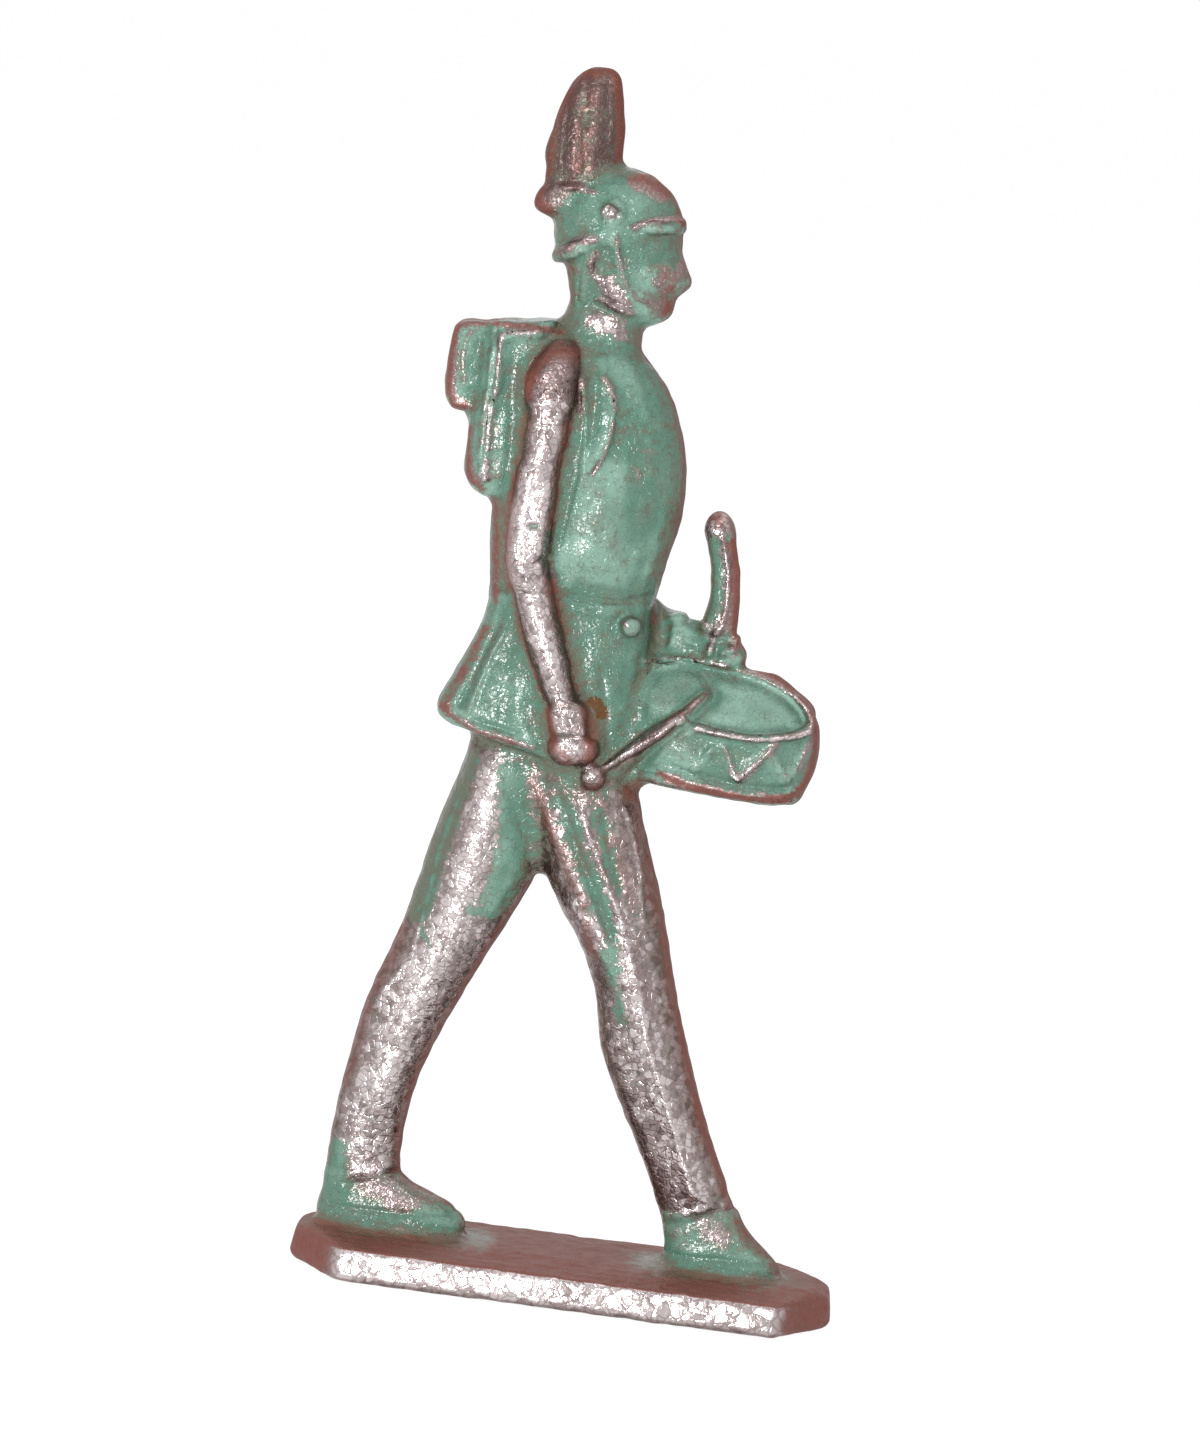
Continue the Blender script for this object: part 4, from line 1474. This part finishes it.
def roughness_of(tree, marks, dull):
    """Glossy enamel, grains of metal that are each as smooth as their shade, and rough tarnish."""
    glaze = add(
        tree, "MapRange",
        {
            "Value": marks.blotch, "From Min": 0.3, "From Max": 0.7,
            "To Min": SMOOTH_GLAZE, "To Max": WORN_GLAZE,
        },
    )
    grain = add(tree, "MapRange", {"Value": marks.shade, "To Min": DARK_GRAIN, "To Max": PALE_GRAIN})
    rough = add(tree, "Mix", {0: marks.gone, 2: glaze, 3: grain})
    rough = add(tree, "Mix", {0: marks.dull, 2: rough, 3: BROWN_ROUGH})
    return add(tree, "Math", {0: rough, 1: dull}, operation="ADD")


def grained_normal(tree, marks):
    """The metal is grainy from the mould, and the enamel levels part of that out."""
    coarse = add(tree, "MapRange", {"Value": marks.gone, "To Min": ENAMEL_GRAIN, "To Max": 1.0})
    height = weighed(
        tree, (marks.crackle, 1.3), (marks.blotch, 1.6), (marks.speck, 0.3), (marks.line, -0.30)
    )
    height = add(tree, "Math", {0: height, 1: coarse}, operation="MULTIPLY")
    height = weighed(tree, (height, 1.0), (marks.gone, -0.2))
    bump = add(tree, "Bump", {"Height": height, "Strength": 1.0, "Distance": BUMP_HEIGHT * MM})
    tilt = add(tree, "MapRange", {"Value": marks.gone, "To Min": ENAMEL_LEAN, "To Max": METAL_LEAN})
    lean = add(tree, "VectorMath", {0: marks.lean, "Scale": tilt}, operation="SCALE")
    normal = add(tree, "VectorMath", {0: bump, 1: lean}, operation="ADD")
    return add(tree, "VectorMath", {0: normal}, operation="NORMALIZE")


def finish_of(slot):
    """Material of a slot: green enamel over cast white metal, each as worn as its marks say."""
    look = FINISHES[slot]
    if look["name"] in bpy.data.materials:
        return bpy.data.materials[look["name"]]
    colours = bpy.context.scene.drummer_finish
    material = bpy.data.materials.new(look["name"])
    material.use_nodes = True
    tree = material.node_tree
    tree.nodes.clear()
    marks = marks_of(tree, look["grain"])
    enamel = enamel_colour(tree, marks, colours)
    metal = metal_colour(tree, marks, colours, look)
    surface = add(
        tree, "BsdfPrincipled",
        {
            "Base Color": add(tree, "Mix", {0: marks.gone, 6: enamel, 7: metal}, 2, data_type="RGBA"),
            "Metallic": shine_of(tree, marks, look["film"]),
            "Roughness": roughness_of(tree, marks, look["dull"]),
            "Normal": grained_normal(tree, marks),
            "Specular IOR Level": 0.4,
        },
    )
    add(tree, "OutputMaterial", {"Surface": surface})
    return material


# Operators


class CastingOperator:
    """What every operator that casts pieces shares."""

    bl_options = {"REGISTER", "UNDO"}
    nodes = ()

    def execute(self, context):
        for node in self.nodes:
            cast_piece(node)
        return {"FINISHED"}


class DRUMMER_OT_base(CastingOperator, bpy.types.Operator):
    """Cast the plate that the figure stands on"""

    bl_idname = "drummer.base"
    bl_label = "Base"
    nodes = ("base_plate",)


class DRUMMER_OT_boots(CastingOperator, bpy.types.Operator):
    """Cast both boots"""

    bl_idname = "drummer.boots"
    bl_label = "Boots"
    nodes = ("rear_boot", "front_boot")


class DRUMMER_OT_legs(CastingOperator, bpy.types.Operator):
    """Cast both trouser legs, with their creases"""

    bl_idname = "drummer.legs"
    bl_label = "Legs"
    nodes = ("rear_leg", "front_leg")


class DRUMMER_OT_coat(CastingOperator, bpy.types.Operator):
    """Cast the coat: tunic, belt, pleated skirt and collar"""

    bl_idname = "drummer.coat"
    bl_label = "Coat"
    nodes = ("tunic", "waist_belt", "coat_skirt", "collar")


class DRUMMER_OT_head(CastingOperator, bpy.types.Operator):
    """Cast the head, with a plain face, and the hair"""

    bl_idname = "drummer.head"
    bl_label = "Head"
    nodes = ("head", "hair")


class DRUMMER_OT_helmet(CastingOperator, bpy.types.Operator):
    """Cast the helmet with its peak, neck guard, bosses and chin straps"""

    bl_idname = "drummer.helmet"
    bl_label = "Helmet"
    nodes = ("helmet_shell", "helmet_peak", "neck_guard", "helmet_bosses", "chin_straps")


class DRUMMER_OT_plume(CastingOperator, bpy.types.Operator):
    """Cast the plume and its socket"""

    bl_idname = "drummer.plume"
    bl_label = "Plume"
    nodes = ("plume_socket", "plume")


class DRUMMER_OT_right_arm(CastingOperator, bpy.types.Operator):
    """Cast the arm that hangs, with its shoulder wing, cuff, fist and stick"""

    bl_idname = "drummer.right_arm"
    bl_label = "Right arm"
    nodes = ("right_shoulder_wing", "right_sleeve", "right_cuff", "right_hand", "right_drumstick")


class DRUMMER_OT_left_arm(CastingOperator, bpy.types.Operator):
    """Cast the bent arm, with its shoulder wing, cuff, fist and raised stick"""

    bl_idname = "drummer.left_arm"
    bl_label = "Left arm"
    nodes = ("left_shoulder_wing", "left_sleeve", "left_cuff", "left_hand", "left_drumstick")


class DRUMMER_OT_drum(CastingOperator, bpy.types.Operator):
    """Cast the drum: shell, head, hoops and lacing"""

    bl_idname = "drummer.drum"
    bl_label = "Drum"
    nodes = ("drum_shell", "drum_head", "drum_top_hoops", "drum_bottom_hoop", "drum_cords")


class DRUMMER_OT_slings(CastingOperator, bpy.types.Operator):
    """Cast the slings over the chest and the button on the belt"""

    bl_idname = "drummer.slings"
    bl_label = "Slings"
    nodes = ("drum_slings", "sling_button")


class DRUMMER_OT_knapsack(CastingOperator, bpy.types.Operator):
    """Cast the knapsack, the roll on its back and its piping"""

    bl_idname = "drummer.knapsack"
    bl_label = "Knapsack"
    nodes = ("knapsack_box", "knapsack_roll", "knapsack_piping")


class DRUMMER_OT_stage(bpy.types.Operator):
    """Lay the pale floor, set the lamps and place the camera"""

    bl_idname = "drummer.stage"
    bl_label = "Stage"
    bl_options = {"REGISTER", "UNDO"}

    def execute(self, context):
        settings = context.scene.drummer_stage
        lay_floor()
        light_room(settings.ambient)
        for name, (place, size, power) in LAMPS.items():
            hang_lamp(name, place, size, getattr(settings, power))
        place_camera(settings)
        context.scene.view_settings.view_transform = "Standard"
        return {"FINISHED"}


# Stage

MIDDLE = Vector((0, 0, 0.03))  # middle of the figure, where the lamps look
VIEW_TARGET = Vector((-1.59, 0, 29.416)) * MM
SENSOR_HEIGHT = 36.0

# Place of each lamp and the side of its square, in metres, and the setting that holds its power
LAMPS = {
    "back_lamp": ((-0.06, 0.28, 0.26), 0.30, "back_power"),
    "key_lamp": ((-0.075, -0.36, 0.048), 0.08, "key_power"),
    "fill_lamp": ((0.10, -0.12, 0.36), 0.30, "fill_power"),
}

CARD_HALF = 6.0  # half the side of the floor card, in metres
CARD_FIBRE = 0.8  # size of its fibres, in mm
CARD_GLOW = 1.27  # how bright its plain white is
CARD_SHARE = 0.72  # share of the plain white where the card is seen as background


def seen_as_background(tree):
    """1 for rays that come straight from the camera, or by way of a mirror or glass."""
    seen = add(tree, "LightPath", {}, "Is Camera Ray")
    for ray in ("Is Glossy Ray", "Is Transmission Ray"):
        other = add(tree, "LightPath", {}, ray)
        seen = add(tree, "Math", {0: seen, 1: other}, operation="MAXIMUM")
    return seen


def lay_floor():
    """White card under the figure, which keeps its shadow."""
    mesh = bpy.data.meshes.new("floor_card")
    ends = (-CARD_HALF, CARD_HALF)
    mesh.from_pydata([(x, y, 0) for x in ends for y in ends], [], [(0, 2, 3, 1)])
    floor = bpy.data.objects.new("floor_card", mesh)
    bpy.context.scene.collection.objects.link(floor)
    mesh.materials.append(white_card())


def white_card():
    """Card that is seen as nearly plain white, apart from the shadow on it."""
    material = bpy.data.materials.new("white_card")
    material.use_nodes = True
    tree = material.node_tree
    tree.nodes.clear()
    where = add(tree, "TexCoord", {}, "Object")
    fibre = add(tree, "TexNoise", {"Vector": where, "Scale": per_mm(CARD_FIBRE), "Detail": 2.0}, "Fac")
    colour = layered(tree, linear("#F4F3F1"), [(fibre, 0.3, 0.7, 1.0, linear("#F8F7F6"))])
    card = add(tree, "BsdfDiffuse", {"Color": colour})
    white = add(tree, "Emission", {"Color": linear("#FFFFFF"), "Strength": CARD_GLOW})
    share = weighed(tree, (seen_as_background(tree), CARD_SHARE))
    both = add(tree, "MixShader", {0: share, 1: card, 2: white})
    add(tree, "OutputMaterial", {"Surface": both})
    return material


def light_room(ambient):
    """Soft light from all round, before a white background."""
    world = bpy.data.worlds.new("room")
    bpy.context.scene.world = world
    world.use_nodes = True
    tree = world.node_tree
    tree.nodes.clear()
    seen = seen_as_background(tree)
    strength = add(tree, "MapRange", {"Value": seen, "To Min": ambient, "To Max": 1.0})
    light = add(tree, "Background", {"Color": linear("#FFFFFF"), "Strength": strength})
    add(tree, "OutputWorld", {"Surface": light})


def hang_lamp(name, place, size, power):
    """Square soft box that looks at the middle of the figure."""
    light = bpy.data.lights.new(name, "AREA")
    light.size = size
    light.energy = power
    lamp = bpy.data.objects.new(name, light)
    aim = MIDDLE - Vector(place)
    lamp.rotation_euler = aim.to_track_quat("-Z", "Y").to_euler()
    lamp.location = place
    bpy.context.scene.collection.objects.link(lamp)


def place_camera(settings):
    """Stands the camera where the picture was taken from, with the picture's lean."""
    a, e, r = settings.camera_azimuth, settings.camera_elevation, settings.camera_roll
    back = Vector((math.sin(a) * math.cos(e), -math.cos(a) * math.cos(e), math.sin(e)))
    right = Vector((math.cos(a), math.sin(a), 0))
    up = back.cross(right)
    leaning_right = right * math.cos(r) + up * math.sin(r)
    leaning_up = up * math.cos(r) - right * math.sin(r)
    place = VIEW_TARGET + back * settings.camera_distance
    lens = bpy.data.cameras.new("picture_camera")
    lens.sensor_fit = "VERTICAL"
    lens.sensor_height = SENSOR_HEIGHT
    lens.lens = SENSOR_HEIGHT * settings.camera_distance / settings.view_height
    camera = bpy.data.objects.new("picture_camera", lens)
    turn = Matrix((leaning_right, leaning_up, back)).transposed().to_4x4()
    camera.matrix_world = Matrix.Translation(place) @ turn
    bpy.context.scene.collection.objects.link(camera)
    bpy.context.scene.camera = camera


OPERATORS = (
    DRUMMER_OT_stage,
    DRUMMER_OT_base,
    DRUMMER_OT_boots,
    DRUMMER_OT_legs,
    DRUMMER_OT_coat,
    DRUMMER_OT_head,
    DRUMMER_OT_helmet,
    DRUMMER_OT_plume,
    DRUMMER_OT_right_arm,
    DRUMMER_OT_left_arm,
    DRUMMER_OT_drum,
    DRUMMER_OT_slings,
    DRUMMER_OT_knapsack,
)


class DRUMMER_PT_panel(bpy.types.Panel):
    """Settings and operators of the drummer"""

    bl_idname = "DRUMMER_PT_panel"
    bl_label = "Toy Drummer"
    bl_space_type = "VIEW_3D"
    bl_region_type = "UI"
    bl_category = "Drummer"

    def draw(self, context):
        for group in GROUPS:
            settings = getattr(context.scene, group)
            box = self.layout.box()
            for name in settings.__annotations__:
                box.prop(settings, name)
        for operator in OPERATORS:
            self.layout.operator(operator.bl_idname)


GROUPS = {
    "drummer_casting": DrummerCasting,
    "drummer_finish": DrummerFinish,
    "drummer_stage": DrummerStage,
}
CLASSES = (*GROUPS.values(), *OPERATORS, DRUMMER_PT_panel)


def register():
    for cls in CLASSES:
        bpy.utils.register_class(cls)
    for name, group in GROUPS.items():
        setattr(bpy.types.Scene, name, bpy.props.PointerProperty(type=group))


def unregister():
    for name in GROUPS:
        delattr(bpy.types.Scene, name)
    for cls in reversed(CLASSES):
        bpy.utils.unregister_class(cls)


def main():
    register()
    for operator in OPERATORS:
        group, name = operator.bl_idname.split(".")
        getattr(getattr(bpy.ops, group), name)()


if __name__ == "__main__":
    main()
